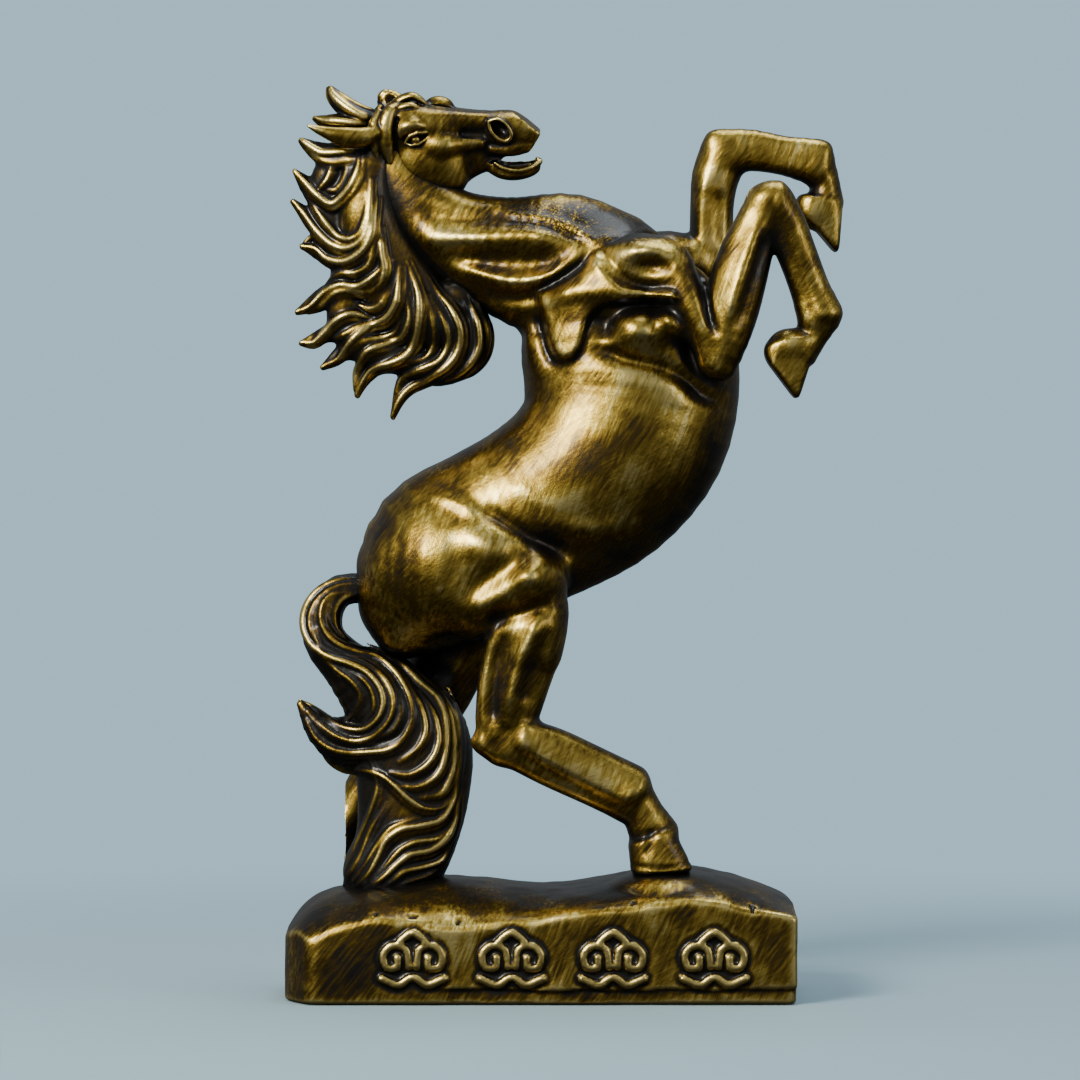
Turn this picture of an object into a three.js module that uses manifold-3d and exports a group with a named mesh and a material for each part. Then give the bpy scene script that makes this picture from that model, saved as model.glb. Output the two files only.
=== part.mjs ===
// A rearing horse in cast bronze on a rock-shaped plinth, in millimetres, +Z up, the horse facing +X.
// The origin is the centre of the plinth's underside, at floor level.
// Each casting is a solid of its own, coped where it meets its neighbour and pinned to it. The plinth is
// hollow. Studs, washers and nuts inside it hold the horse down, and a screwed plate with a felt pad
// closes it from below.
import * as THREE from "three";
import { mergeVertices } from "three/addons/utils/BufferGeometryUtils.js";
import Module from "manifold-3d";

const wasm = await Module();
wasm.setup();

// Driving dimensions.
const PLINTH_LENGTH = 219;
const PLINTH_DEPTH = 96;
const TAIL_CORNER = { along: 11.1, across: 18 }; // what is cut off the two corners at the tail end
const PLINTH_WALL = 5;
const SEAM = 0.3; // clearance between neighbouring castings
const FELT_THICKNESS = 1.2;
const RIM_CLEARANCE = 0.6; // the plinth's rim stands this far off the floor
const PLATE_THICKNESS = 2.5;
const FIT = 0.1; // between faces that rest on each other
const STUD_RADIUS = 2.5;
const DOWEL_RADIUS = 3;
const HOLE_CLEARANCE = 0.3;

const Y_AXIS = new THREE.Vector3(0, 1, 0);

// ---------------------------------------------------------------- solids

function solid(geometry) {
  const bare = geometry.clone();
  bare.deleteAttribute("normal");
  bare.deleteAttribute("uv");
  const merged = mergeVertices(bare, 1e-4);
  return new wasm.Manifold(
    new wasm.Mesh({
      numProp: 3,
      vertProperties: merged.attributes.position.array,
      triVerts: new Uint32Array(merged.index.array),
    }),
  );
}

function geometryOf(shape) {
  const mesh = shape.getMesh();
  const positions = new Float32Array(mesh.numVert * 3);
  for (let i = 0; i < mesh.numVert; i++) {
    positions.set(mesh.vertProperties.subarray(i * mesh.numProp, i * mesh.numProp + 3), i * 3);
  }
  const geometry = new THREE.BufferGeometry();
  geometry.setAttribute("position", new THREE.BufferAttribute(positions, 3));
  geometry.setIndex(new THREE.BufferAttribute(new Uint32Array(mesh.triVerts), 1));
  const flat = geometry.toNonIndexed();
  flat.computeVertexNormals();
  return flat;
}

const join = (...shapes) => shapes.flat().reduce((sum, shape) => sum.add(shape));
const cut = (shape, ...tools) => tools.flat().reduce((rest, tool) => rest.subtract(tool), shape);
const largest = (shape) => shape.decompose().sort((a, b) => b.volume() - a.volume())[0];

// A closed surface through rings of points, each ring the same number of points, with an apex at each end.
function skin(rings, firstApex, lastApex) {
  const sides = rings[0].length;
  const points = [firstApex, ...rings.flat(), lastApex];
  const last = points.length - 1;
  const at = (ring, side) => 1 + ring * sides + (side % sides);
  const index = [];
  for (let s = 0; s < sides; s++) {
    index.push(0, at(0, s + 1), at(0, s));
    for (let r = 0; r + 1 < rings.length; r++) {
      index.push(at(r, s), at(r, s + 1), at(r + 1, s + 1));
      index.push(at(r, s), at(r + 1, s + 1), at(r + 1, s));
    }
    index.push(last, at(rings.length - 1, s), at(rings.length - 1, s + 1));
  }
  const geometry = new THREE.BufferGeometry().setFromPoints(points);
  geometry.setIndex(index);
  return solid(geometry);
}

// A limb: elliptical sections along a smooth curve, with domed ends. A station is
// [x, y, z, half-thickness seen from the side, half-width across the horse].
function limb(stations, { sides = 12, steps = 2, grow = 0 } = {}) {
  const centres = new THREE.CatmullRomCurve3(
    stations.map(([x, y, z]) => new THREE.Vector3(x, y, z)),
    false,
    "centripetal",
  );
  const radii = new THREE.CatmullRomCurve3(stations.map(([, , , side, deep]) => new THREE.Vector3(side, deep, 0)));
  const count = (stations.length - 1) * steps;
  const ringAt = (t, scale, shift) => {
    const tangent = centres.getTangent(t);
    const radius = radii.getPoint(t);
    const side = new THREE.Vector3().crossVectors(Y_AXIS, tangent).normalize();
    const deep = new THREE.Vector3().crossVectors(tangent, side).normalize();
    const reach = (Math.min(radius.x, radius.y) + grow) * shift;
    const centre = centres.getPoint(t).addScaledVector(tangent, reach);
    return Array.from({ length: sides }, (_, i) => {
      const angle = (2 * Math.PI * i) / sides;
      return centre
        .clone()
        .addScaledVector(side, Math.cos(angle) * (radius.x + grow) * scale)
        .addScaledVector(deep, Math.sin(angle) * (radius.y + grow) * scale);
    });
  };
  const middle = (t, shift) => {
    const ring = ringAt(t, 0, shift);
    return ring[0];
  };
  const rings = [ringAt(0, 0.72, -0.55)];
  for (let i = 0; i <= count; i++) {
    rings.push(ringAt(i / count, 1, 0));
  }
  rings.push(ringAt(1, 0.72, 0.55));
  return skin(rings, middle(0, -0.85), middle(1, 0.85));
}

// The same stations on the far side of the horse.
const farSide = (stations) => stations.map(([x, y, z, side, deep]) => [x, -y, z, side, deep]);

// An egg-shaped muscle, tilted in the side view.
function muscle(x, y, z, radiusX, radiusY, radiusZ, tilt = 0) {
  const geometry = new THREE.SphereGeometry(1, 14, 9);
  geometry.scale(radiusX, radiusY, radiusZ);
  geometry.rotateY(THREE.MathUtils.degToRad(-tilt));
  geometry.translate(x, y, z);
  return solid(geometry);
}

// A round bar between two points.
function bar(from, to, radius, sides = 16) {
  const start = new THREE.Vector3(...from);
  const along = new THREE.Vector3(...to).sub(start);
  const geometry = new THREE.CylinderGeometry(radius, radius, along.length(), sides);
  geometry.applyQuaternion(new THREE.Quaternion().setFromUnitVectors(Y_AXIS, along.clone().normalize()));
  geometry.translate(...start.addScaledVector(along, 0.5).toArray());
  return solid(geometry);
}

const post = (x, y, low, high, radius, sides) => bar([x, y, low], [x, y, high], radius, sides);

// ---------------------------------------------------------------- the horse's forms

const TRUNK = [
  [-60, 0, 157, 13, 18],
  [-54, 0, 173, 28, 26],
  [-42, 0, 189, 36.5, 31],
  [-22, 0, 200, 37.5, 33],
  [1, 0, 211, 39.5, 35],
  [23, 0, 226, 42.5, 36],
  [37, 0, 246, 45, 36],
  [40, 0, 268, 46.5, 34],
  [37, 0, 287, 46, 32],
  [32, 0, 301, 39, 29],
  [24, 0, 312, 30, 26],
];
const NECK = [
  [26, 0, 308, 34, 24],
  [10, 0, 316, 33, 23],
  [-6, 0, 319, 29, 21],
  [-22, 0, 324, 24, 18],
  [-38, 0, 331.5, 20, 15],
  [-52, 0, 343.5, 16.5, 12.5],
  [-62, 0, 358.5, 13, 10],
  [-66, 0, 371, 9.5, 9],
];
const HAUNCH = [
  [-62, -13, 186, 19, 13],
  [-45, -19, 185, 28, 16],
  [-22, -21, 183, 26, 17],
  [-4, -23, 183, 17, 15],
  [3, -24, 181, 10, 12],
];
const NEAR_THIGH = [
  [-30, -20, 176, 22, 16],
  [-10, -23, 176, 19, 16],
  [-4, -24, 166, 16, 14],
  [-7, -24, 152, 16, 12],
];
const FAR_THIGH = [
  [-36, 20, 176, 24, 16],
  [-34, 22, 162, 20, 15],
  [-40, 23, 148, 17, 13],
];
const NEAR_SHOULDER = [
  [18, -15, 300, 13, 12],
  [36, -19, 310, 16, 14],
  [52, -24, 313, 15, 14],
  [60, -28, 306, 12, 12],
  [68, -30, 291, 11.5, 11],
  [76, -31, 275, 9, 9],
];
const FAR_SHOULDER = [
  [18, 15, 302, 14, 12],
  [38, 19, 312, 17, 14],
  [58, 24, 317, 17, 14],
  [75, 27, 317, 12.5, 11],
];
const NEAR_FORELEG = [
  [77, -31, 274, 8, 9],
  [79, -31, 284, 10.5, 11],
  [82, -31, 297, 12, 11.5],
  [86, -31, 313, 12, 11],
  [91, -30, 329, 10.5, 10],
  [97, -30, 341, 10.5, 9.5],
  [104, -29, 335, 9, 9],
  [110, -28, 320, 8, 8],
  [116, -27, 303, 8, 8],
  [119.5, -27, 293, 9, 9],
  [117, -27, 285, 7, 8],
  [112, -27, 279, 8.5, 9],
];
const FAR_FORELEG = [
  [75, 27, 316, 12, 10.5],
  [76, 26, 328, 10, 10.5],
  [76, 25, 344, 9.5, 10.5],
  [77, 24, 358, 10.5, 10.5],
  [81, 24, 368, 11, 10],
  [92.5, 23, 369, 9.5, 8.5],
  [108, 22, 367, 9, 8],
  [120.5, 22, 364, 10, 9],
  [125.5, 22, 354, 7, 8],
  [125.5, 22, 347, 8, 9],
];
const NEAR_HIND_LEG = [
  [-5, -24, 170, 16, 13.5],
  [-7, -24, 152, 16, 12],
  [-12, -24, 133, 14.5, 10.5],
  [-14, -23, 115, 13.5, 10],
  [5, -22, 104, 12, 9.5],
  [24, -22, 95.5, 12, 9],
  [39, -22, 87, 11, 9.5],
  [45, -22, 78.5, 8.5, 9],
  [50, -22, 70, 11, 10.5],
];
const FAR_HIND_LEG = [
  [-38, 23, 152, 18, 13],
  [-48, 24, 128, 16, 13],
  [-68, 25, 99, 12, 10.5],
  [-85, 26, 74, 9, 9],
  [-88, 26, 66, 7, 8],
  [-86, 26, 56, 6, 8],
  [-84, 26, 50, 9, 10],
];
const TAIL = [
  [-66, 0, 176, 7, 7],
  [-76, 0, 177, 7.5, 8],
  [-87, 0, 176, 8, 9],
  [-94, -1, 168, 9.5, 11],
  [-95, -2, 155, 10.5, 12],
  [-83, -3, 142, 13, 14],
  [-67, -4, 128, 21, 17],
  [-56, -4, 110, 27, 18],
  [-55, -4, 89, 26, 18],
  [-61, -4, 69, 24, 17],
  [-68, -4, 52, 22, 17],
];
const TAIL_CURL = [
  [-66, -5, 113, 14, 11],
  [-83, -6, 110, 13, 9],
  [-95, -6, 115, 8.5, 7],
  [-105, -6, 126, 2, 3],
];

// Hair locks of the mane, from root to tip: [x, y, z, half-thickness, half-width].
const MANE_LOCKS = [
  [[-68, 0, 379, 8, 9], [-80, -1, 385, 6, 7], [-88, -1, 389, 4, 5], [-95, -1, 394.5, 1.5, 2]],
  [[-70, 0, 376, 9, 10], [-83, -1, 379, 5, 8], [-92, -2, 380, 3, 5], [-98, -2, 382, 1.5, 2]],
  [[-70, 0, 364, 9, 12], [-84, -1, 365, 7, 10], [-95, -2, 367, 4.5, 7], [-104, -2, 372, 1.5, 2]],
  [[-70, 0, 352, 9, 14], [-81, -1, 350, 7.5, 12], [-91, -2, 347, 6, 9], [-99, -2, 351, 4, 6], [-107, -1, 359, 1.5, 2]],
  [[-67, 0, 342, 9, 15], [-76, -1, 337, 7.5, 13], [-87, -2, 332, 6, 10], [-97, -2, 337, 4, 6], [-108, -1, 346, 1.5, 2]],
  [[-65, 0, 333, 9, 15], [-74, -1, 327, 7.5, 13], [-85, -2, 321, 6, 10], [-94, -1, 323, 4.5, 6], [-104, 0, 327.5, 1.5, 2]],
  [[-62, 0, 322, 9, 16], [-70, -1, 314, 7.5, 13], [-81, -2, 309, 6, 10], [-93, -1, 305, 4.5, 6], [-106, 0, 297.5, 1.5, 2]],
  [[-58, 0, 312, 9, 16], [-63, -1, 302, 7.5, 14], [-74, -2, 294, 6, 11], [-88, -1, 289, 5, 7], [-104, 0, 283.5, 1.5, 2]],
  [[-52, 0, 306, 9, 16], [-58, -1, 293, 7.5, 14], [-67, -2, 284, 6, 11], [-82, -1, 280, 4.5, 7], [-96, 0, 273.5, 1.5, 2]],
  [[-48, 0, 302, 9, 16], [-51, -1, 288, 7.5, 14], [-60, -2, 280, 6, 11], [-71, -1, 275, 5, 7], [-80, 0, 265.5, 2.5, 3]],
  [[-39, 0, 300, 9, 16], [-40, -1, 287, 8, 14], [-43, -2, 278, 7, 11], [-56, -1, 270, 5, 7], [-65, 0, 254, 2, 3]],
  [[-29, 0, 298, 7, 15], [-28, -1, 288, 7, 13], [-31, -2, 277, 6, 10], [-41, -1, 270, 4.5, 6], [-54, 0, 267, 2, 3]],
];
const MANE_CREST = [
  [-68, 0, 376, 9, 9],
  [-76, 0, 355, 14, 13],
  [-74, 0, 332, 17, 15],
  [-63, 0, 309, 20, 15],
  [-50, 0, 294, 18, 15],
  [-37, 0, 291, 14, 14],
];

// The head is drawn upright and then rolled about its own length, its crown towards the near side.
const HEAD_ROLL = THREE.MathUtils.degToRad(16);
const HEAD_PIVOT = [-40, 0, 370];
const FACE = [
  [-67, 0, 378, 7, 8.5],
  [-57, 0, 378, 11.5, 12],
  [-48, 0, 376, 12.5, 12.5],
  [-35, 0, 374.5, 10.5, 9.5],
  [-22, 0, 375, 9.3, 8.5],
  [-11, 0, 375.5, 8.5, 8.5],
  [-4, 0, 374, 5, 6.5],
];
const JAW = [
  [-50, 0, 361, 9, 8],
  [-33, 0, 363, 6.5, 6.5],
  [-19, 0, 362.5, 4, 6],
  [-9, 0, 359.5, 3.2, 5.5],
  [-2, 0, 361, 2, 4.5],
];
const NEAR_EAR = [
  [-66, -9, 374, 5, 4.5],
  [-76, -11, 372, 5.5, 4.5],
  [-88, -13, 373.5, 4.5, 4],
  [-99, -14, 377.5, 1.5, 1.5],
];
const FAR_EAR = [
  [-62, 8, 382, 5, 4.5],
  [-67, 9, 390, 5.5, 4],
  [-69.5, 9.5, 395, 3, 2.5],
];

// A hoof: a slanted wedge from the coronet ring down to the sole. Rings are given as outlines in the side view.
function hoof(coronet, sole, halfWidthTop, halfWidthSole, y) {
  const ring = ([backX, backZ], [frontX, frontZ], halfWidth) =>
    Array.from({ length: 12 }, (_, i) => {
      const angle = (2 * Math.PI * i) / 12;
      const along = (1 - Math.cos(angle)) / 2;
      return new THREE.Vector3(
        THREE.MathUtils.lerp(backX, frontX, along),
        y + Math.sin(angle) * halfWidth,
        THREE.MathUtils.lerp(backZ, frontZ, along),
      );
    });
  const centre = ([ax, az], [bx, bz]) => new THREE.Vector3((ax + bx) / 2, y, (az + bz) / 2);
  const rings = [ring(...coronet, halfWidthTop), ring(...sole, halfWidthSole)];
  const shape = skin(rings, centre(...coronet), centre(...sole));
  return shape.volume() > 0 ? shape : skin(rings.reverse(), centre(...sole), centre(...coronet));
}

function rolled(geometryShape) {
  const geometry = geometryOf(geometryShape);
  geometry.translate(...HEAD_PIVOT.map((v) => -v));
  geometry.rotateX(HEAD_ROLL);
  geometry.translate(...HEAD_PIVOT);
  return solid(geometry);
}

function bodyForm(grow = 0) {
  const part = (stations, sides = 10) => limb(stations, { grow, sides });
  return join(
    part(TRUNK, 18),
    limb(NECK, { sides: 14, grow }),
    part(HAUNCH),
    part(farSide(HAUNCH)),
    part(NEAR_THIGH),
    part(FAR_THIGH),
    part(NEAR_SHOULDER),
    part(FAR_SHOULDER),
  );
}

// The neck is parted from the torso by a flat cut across its root.
const NECK_CUT = { x: 8, z: 318, rise: 34 };

function neckSide(offset) {
  const geometry = new THREE.BoxGeometry(130, 90, 110);
  geometry.translate(0, 0, 55 + offset);
  geometry.rotateY(THREE.MathUtils.degToRad(NECK_CUT.rise - 90));
  geometry.translate(NECK_CUT.x, 0, NECK_CUT.z);
  return solid(geometry);
}

function headForm(grow = 0) {
  const part = (stations) => limb(stations, { grow, sides: 10 });
  const lump = (x, y, z, radiusX, radiusY, radiusZ) => muscle(x, y, z, radiusX + grow, radiusY + grow, radiusZ + grow);
  const cheeks = [-1, 1].map((side) => lump(-48, 6 * side, 360.5, 15, 8, 14.5));
  const brows = [-1, 1].map((side) => lump(-55, 9.5 * side, 376.5, 7, 4.5, 4.5));
  const farBrow = lump(-44, 6.6, 384, 6.5, 3.8, 4.2);
  return rolled(join(part(FACE), part(JAW), cheeks, brows, farBrow, part(NEAR_EAR), part(FAR_EAR)));
}

function maneForm(grow = 0) {
  const locks = MANE_LOCKS.map((lock) => limb(lock, { sides: 6, grow }));
  return join(limb(MANE_CREST, { sides: 10, grow }), locks);
}

function tailForm() {
  return join(limb(TAIL, { sides: 14 }), limb(TAIL_CURL, { sides: 10 }));
}

function nearForelegForm(grow = 0) {
  const foot = hoof([[96.5, 280], [120, 285]], [[95.5, 276.5], [110, 257]], 9, 8.5, -27);
  return join(limb(NEAR_FORELEG, { grow, sides: 10 }), foot);
}

function farForelegForm(grow = 0) {
  const foot = hoof([[114, 349], [133.5, 346]], [[113, 345], [131.5, 323]], 9, 8.5, 22);
  return join(limb(FAR_FORELEG, { grow, sides: 10 }), foot);
}

function nearHindLegForm(grow = 0) {
  const foot = hoof([[38, 68], [63, 70.5]], [[38.8, 53], [66, 53.4]], 11, 12.4, -22);
  return join(limb(NEAR_HIND_LEG, { grow, sides: 10 }), foot);
}

function farHindLegForm(grow = 0) {
  const foot = hoof([[-92, 54], [-76, 57]], [[-94, 44], [-71, 47]], 9, 10.5, 26);
  return join(limb(FAR_HIND_LEG, { grow, sides: 10 }), foot);
}

// ---------------------------------------------------------------- the plinth

// Heights along the length: [x, z].
const MOUND = [
  [-110, 29], [-104, 37.5], [-98, 42.5], [-90, 45.6], [-72, 48.2], [-56, 50.2], [-40.7, 51.6], [-25.7, 50.6],
  [1.3, 47.8], [19.3, 49.4], [37.3, 53], [52, 55], [67.3, 55.6], [79.3, 53.2], [94.3, 48.6], [106, 43.2], [110, 40],
];
const RIDGE = [
  [-110, 20], [-97.3, 27], [-83.4, 33.2], [-68.8, 35.2], [-54.2, 33.9], [-32.3, 32.2], [-16.2, 33.7], [-1.6, 35.2],
  [11.5, 38.2], [21.7, 39.8], [39.2, 41], [55.3, 42.8], [67, 43.6], [77.2, 42.7], [88.9, 39.8], [106, 37.6], [110, 36.5],
];

function heightAt(profile, x) {
  const next = Math.max(1, profile.findIndex(([px]) => px >= x));
  const [x0, z0] = profile[next - 1];
  const [x1, z1] = profile[next];
  return THREE.MathUtils.mapLinear(x, x0, x1, z0, z1);
}

// The rock: sections across the plinth, strung along its length. The far end of each section mirrors the near.
function rock(inset, bottom, stations) {
  const end = PLINTH_LENGTH / 2 - inset;
  const arch = 6;
  const section = (x) => {
    const into = THREE.MathUtils.clamp(TAIL_CORNER.along - (x + end), 0, TAIL_CORNER.along);
    const half = PLINTH_DEPTH / 2 - inset - (into * TAIL_CORNER.across) / TAIL_CORNER.along;
    const ridge = heightAt(RIDGE, THREE.MathUtils.clamp(x, -109, 109)) - inset;
    const mound = heightAt(MOUND, THREE.MathUtils.clamp(x, -109, 109)) - inset;
    const points = [new THREE.Vector3(x, -half, bottom), new THREE.Vector3(x, half, bottom)];
    for (let i = 0; i <= arch; i++) {
      const angle = (Math.PI * i) / arch;
      points.push(new THREE.Vector3(x, half * Math.cos(angle), ridge + (mound - ridge) * Math.sin(angle)));
    }
    return points;
  };
  const rings = Array.from({ length: stations + 1 }, (_, i) => section(-end * Math.cos((Math.PI * i) / stations)));
  const middle = (x) => new THREE.Vector3(x, 0, bottom + 8);
  return skin(rings, middle(-end), middle(end));
}

// A cloud: two scrolls under a cap and over a ripple, in raised bands on the plinth's front.
const CLOUD_CENTRES = [-54, -12, 31, 74];
const CLOUD_HEIGHT = 19.5;
const CLOUD_PROUD = 1;
const CLOUD_BAND = 1.3; // half the width of a band
const CLOUD = [
  [[-1.5, -3], [-3.2, 4.6], [-8.6, 6], [-12.4, 2.2], [-11, -3.2], [-6.8, -3], [-6.4, 0.8]],
  [[1.5, -3], [3.2, 4.6], [8.6, 6], [12.4, 2.2], [11, -3.2], [6.8, -3], [6.4, 0.8]],
  [[-5.2, 8], [0, 11.4], [5.2, 8]],
  [[-13, -8], [-6, -10.6], [0, -7.4], [6, -10.6], [13, -8]],
];

function band(points, x) {
  const curve = new THREE.CatmullRomCurve3(points.map(([u, v]) => new THREE.Vector3(u, v, 0)));
  const steps = points.length * 2;
  const edge = (side) =>
    Array.from({ length: steps + 1 }, (_, i) => {
      const at = curve.getPoint(i / steps);
      const run = curve.getTangent(i / steps);
      return new THREE.Vector2(at.x - run.y * side, at.y + run.x * side);
    });
  const shape = new THREE.Shape([...edge(CLOUD_BAND), ...edge(-CLOUD_BAND).reverse()]);
  const geometry = new THREE.ExtrudeGeometry(shape, { depth: 3, bevelEnabled: false });
  geometry.rotateX(Math.PI / 2);
  geometry.translate(x, -PLINTH_DEPTH / 2 - CLOUD_PROUD + 3, CLOUD_HEIGHT);
  return solid(geometry);
}

const cloud = (x) => CLOUD.map((points) => band(points, x));

// ---------------------------------------------------------------- fasteners

const SCREW_PLACES = [
  [-84, -30],
  [-84, 30],
  [92, -33],
  [92, 33],
];
// Studs stand in blind holes in the feet and run down through the plinth's top: [x, y, top, seat].
const STUDS = {
  right_hind: [53, -22, 66, 34],
  left_hind: [-84, 26, 58, 30],
  tail: [-62, -6, 66, 32],
};
const WASHER_THICKNESS = 1.2;
const NUT_HEIGHT = 4;
const NUT_RADIUS = 4.6;
const BOSS_RADIUS = 8;
const STUD_TAIL = 9; // length below the seat
const PLATE_BOTTOM = FELT_THICKNESS + FIT;
const PLATE_TOP = PLATE_BOTTOM + PLATE_THICKNESS;
const PILLAR_BOTTOM = PLATE_TOP + FIT;

function plateShape(inset) {
  const left = -PLINTH_LENGTH / 2 + inset;
  const right = PLINTH_LENGTH / 2 - inset;
  const half = PLINTH_DEPTH / 2 - inset;
  const { along, across } = TAIL_CORNER;
  const shape = new THREE.Shape();
  shape.moveTo(right, -half);
  shape.lineTo(right, half);
  shape.lineTo(left + along, half);
  shape.lineTo(left, half - across);
  shape.lineTo(left, -half + across);
  shape.lineTo(left + along, -half);
  return shape;
}

function slab(inset, low, thickness) {
  const geometry = new THREE.ExtrudeGeometry(plateShape(inset), {
    depth: thickness,
    bevelEnabled: false,
    curveSegments: 6,
  });
  geometry.translate(0, 0, low);
  return solid(geometry);
}

function plinth() {
  const cavity = rock(PLINTH_WALL, -1, 20);
  const outside = rock(0, RIM_CLEARANCE, 26);
  const pillars = SCREW_PLACES.map(([x, y]) => post(x, y, PILLAR_BOTTOM, 29, 5, 12));
  const bosses = Object.values(STUDS).map(([x, y, , seat]) => post(x, y, seat, seat + 12, BOSS_RADIUS, 14));
  const pilots = SCREW_PLACES.map(([x, y]) => post(x, y, -1, 16, 2 + HOLE_CLEARANCE, 10));
  const holes = Object.values(STUDS).map(([x, y]) => post(x, y, 20, 80, STUD_RADIUS + HOLE_CLEARANCE, 12));
  const shell = cut(join(outside, CLOUD_CENTRES.flatMap(cloud)), cavity);
  const fittings = join(...pillars, ...bosses).intersect(outside);
  return largest(cut(join(shell, fittings), pilots, holes));
}

function coverPlate() {
  const holes = SCREW_PLACES.map(([x, y]) => post(x, y, -1, 6, 2 + HOLE_CLEARANCE, 12));
  const sinks = SCREW_PLACES.map(([x, y]) => countersink(x, y, HOLE_CLEARANCE));
  return cut(slab(PLINTH_WALL + 1, PLATE_BOTTOM, PLATE_THICKNESS), holes, sinks);
}

function lathe(profile, x, y, segments = 14) {
  const geometry = new THREE.LatheGeometry(
    profile.map(([radius, z]) => new THREE.Vector2(radius, z)),
    segments,
  );
  geometry.rotateX(Math.PI / 2);
  geometry.translate(x, y, 0);
  const shape = solid(geometry);
  return shape;
}

// The cone of a countersunk head, cut into the plate.
function countersink(x, y, clearance) {
  const top = PLATE_BOTTOM + 2.1 + clearance;
  return lathe([[0, -1], [4 + clearance, -1], [4 + clearance, PLATE_BOTTOM], [2 + clearance, top], [0, top]], x, y);
}

function coverScrew(x, y) {
  const low = PLATE_BOTTOM + FIT;
  const body = lathe([[0, low], [3.8, low], [2, low + 1.9], [2, 14], [0, 14.6]], x, y);
  return cut(body, post(x, y, 0, low + 1.3, 1.3, 6));
}

function stud([x, y, top, seat]) {
  return post(x, y, seat - STUD_TAIL, top, STUD_RADIUS, 12);
}

function washer([x, y, , seat]) {
  const high = seat - FIT;
  const low = high - WASHER_THICKNESS;
  const inner = STUD_RADIUS + HOLE_CLEARANCE;
  return lathe([[inner, low], [6, low], [6, high], [inner, high], [inner, low]], x, y, 18);
}

function nut([x, y, , seat]) {
  const high = seat - WASHER_THICKNESS - 2 * FIT;
  const body = post(x, y, high - NUT_HEIGHT, high, NUT_RADIUS, 6);
  return cut(body, post(x, y, 0, 80, STUD_RADIUS + FIT, 12));
}

// Dowels across the joints between castings: [from, to].
const DOWELS = {
  right_foreleg_dowel: [[74, -30, 282], [83, -31, 300]],
  left_foreleg_dowel: [[73, 27, 306], [75, 25.5, 330]],
  right_hind_dowel: [[-4, -24, 166], [-11, -24, 140]],
  left_hind_dowel: [[-35, 22, 166], [-46, 24, 136]],
  tail_dowel: [[-82, 0, 176.5], [-57, 0, 176]],
  neck_dowel: [[-4, 0, 326], [20, 0, 310]],
  head_dowel: [[-64, 0, 356], [-55, 0, 372]],
  mane_upper_dowel: [[-78, 0, 347], [-56, 0, 352]],
  mane_lower_dowel: [[-46, 0, 292], [-39, 0, 315]],
};
const dowel = ([from, to]) => bar(from, to, DOWEL_RADIUS, 12);
const socket = ([from, to]) => {
  const start = new THREE.Vector3(...from);
  const end = new THREE.Vector3(...to);
  const over = end.clone().sub(start).setLength(HOLE_CLEARANCE);
  return bar(start.sub(over).toArray(), end.add(over).toArray(), DOWEL_RADIUS + HOLE_CLEARANCE, 12);
};
const sockets = Object.values(DOWELS).map(socket);

// ---------------------------------------------------------------- the castings

function castings() {
  const body = bodyForm();
  const bodyWide = bodyForm(SEAM);
  const headWide = headForm(SEAM);
  const plinthWide = rock(-SEAM, -1, 26);
  const farHindWide = farHindLegForm(SEAM);
  const studHoles = Object.values(STUDS).map(([x, y, top]) =>
    post(x, y, 0, top + HOLE_CLEARANCE, STUD_RADIUS + HOLE_CLEARANCE, 12),
  );
  const made = {
    torso_casting: cut(body, neckSide(-SEAM / 2)),
    neck_casting: cut(body.intersect(neckSide(SEAM / 2)), headWide),
    head_casting: headForm(),
    mane_casting: cut(maneForm(), bodyWide, headWide),
    tail_casting: cut(tailForm(), bodyWide, farHindWide, plinthWide),
    right_foreleg_casting: cut(nearForelegForm(), bodyWide),
    left_foreleg_casting: cut(farForelegForm(), bodyWide),
    right_hind_leg_casting: cut(nearHindLegForm(), bodyWide, plinthWide),
    left_hind_leg_casting: cut(farHindLegForm(), bodyWide, plinthWide),
  };
  for (const name of Object.keys(made)) {
    made[name] = largest(cut(made[name], sockets, studHoles));
  }
  return made;
}

// ---------------------------------------------------------------- materials and assembly

const bronze = new THREE.MeshStandardMaterial({ color: 0x7a5f2a, roughness: 0.38, metalness: 1 });
const brass = new THREE.MeshStandardMaterial({ color: 0xb08d4a, roughness: 0.35, metalness: 1 });
const steel = new THREE.MeshStandardMaterial({ color: 0x8d9094, roughness: 0.4, metalness: 1 });
const felt = new THREE.MeshStandardMaterial({ color: 0x1d241f, roughness: 0.95, metalness: 0 });

const statue = new THREE.Group();

function add(name, shape, material) {
  const mesh = new THREE.Mesh(geometryOf(shape), material);
  mesh.name = name;
  statue.add(mesh);
}

add("plinth_casting", plinth(), bronze);
add("cover_plate", coverPlate(), steel);
add("felt_pad", slab(PLINTH_WALL + 2, 0, FELT_THICKNESS), felt);
SCREW_PLACES.forEach(([x, y], i) => add(`cover_screw_${i + 1}`, coverScrew(x, y), steel));
for (const [name, shape] of Object.entries(castings())) {
  add(name, shape, bronze);
}
for (const [foot, place] of Object.entries(STUDS)) {
  add(`${foot}_stud`, stud(place), steel);
  add(`${foot}_washer`, washer(place), steel);
  add(`${foot}_nut`, nut(place), steel);
}
for (const [name, ends] of Object.entries(DOWELS)) {
  add(name, dowel(ends), brass);
}

export default statue;
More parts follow.
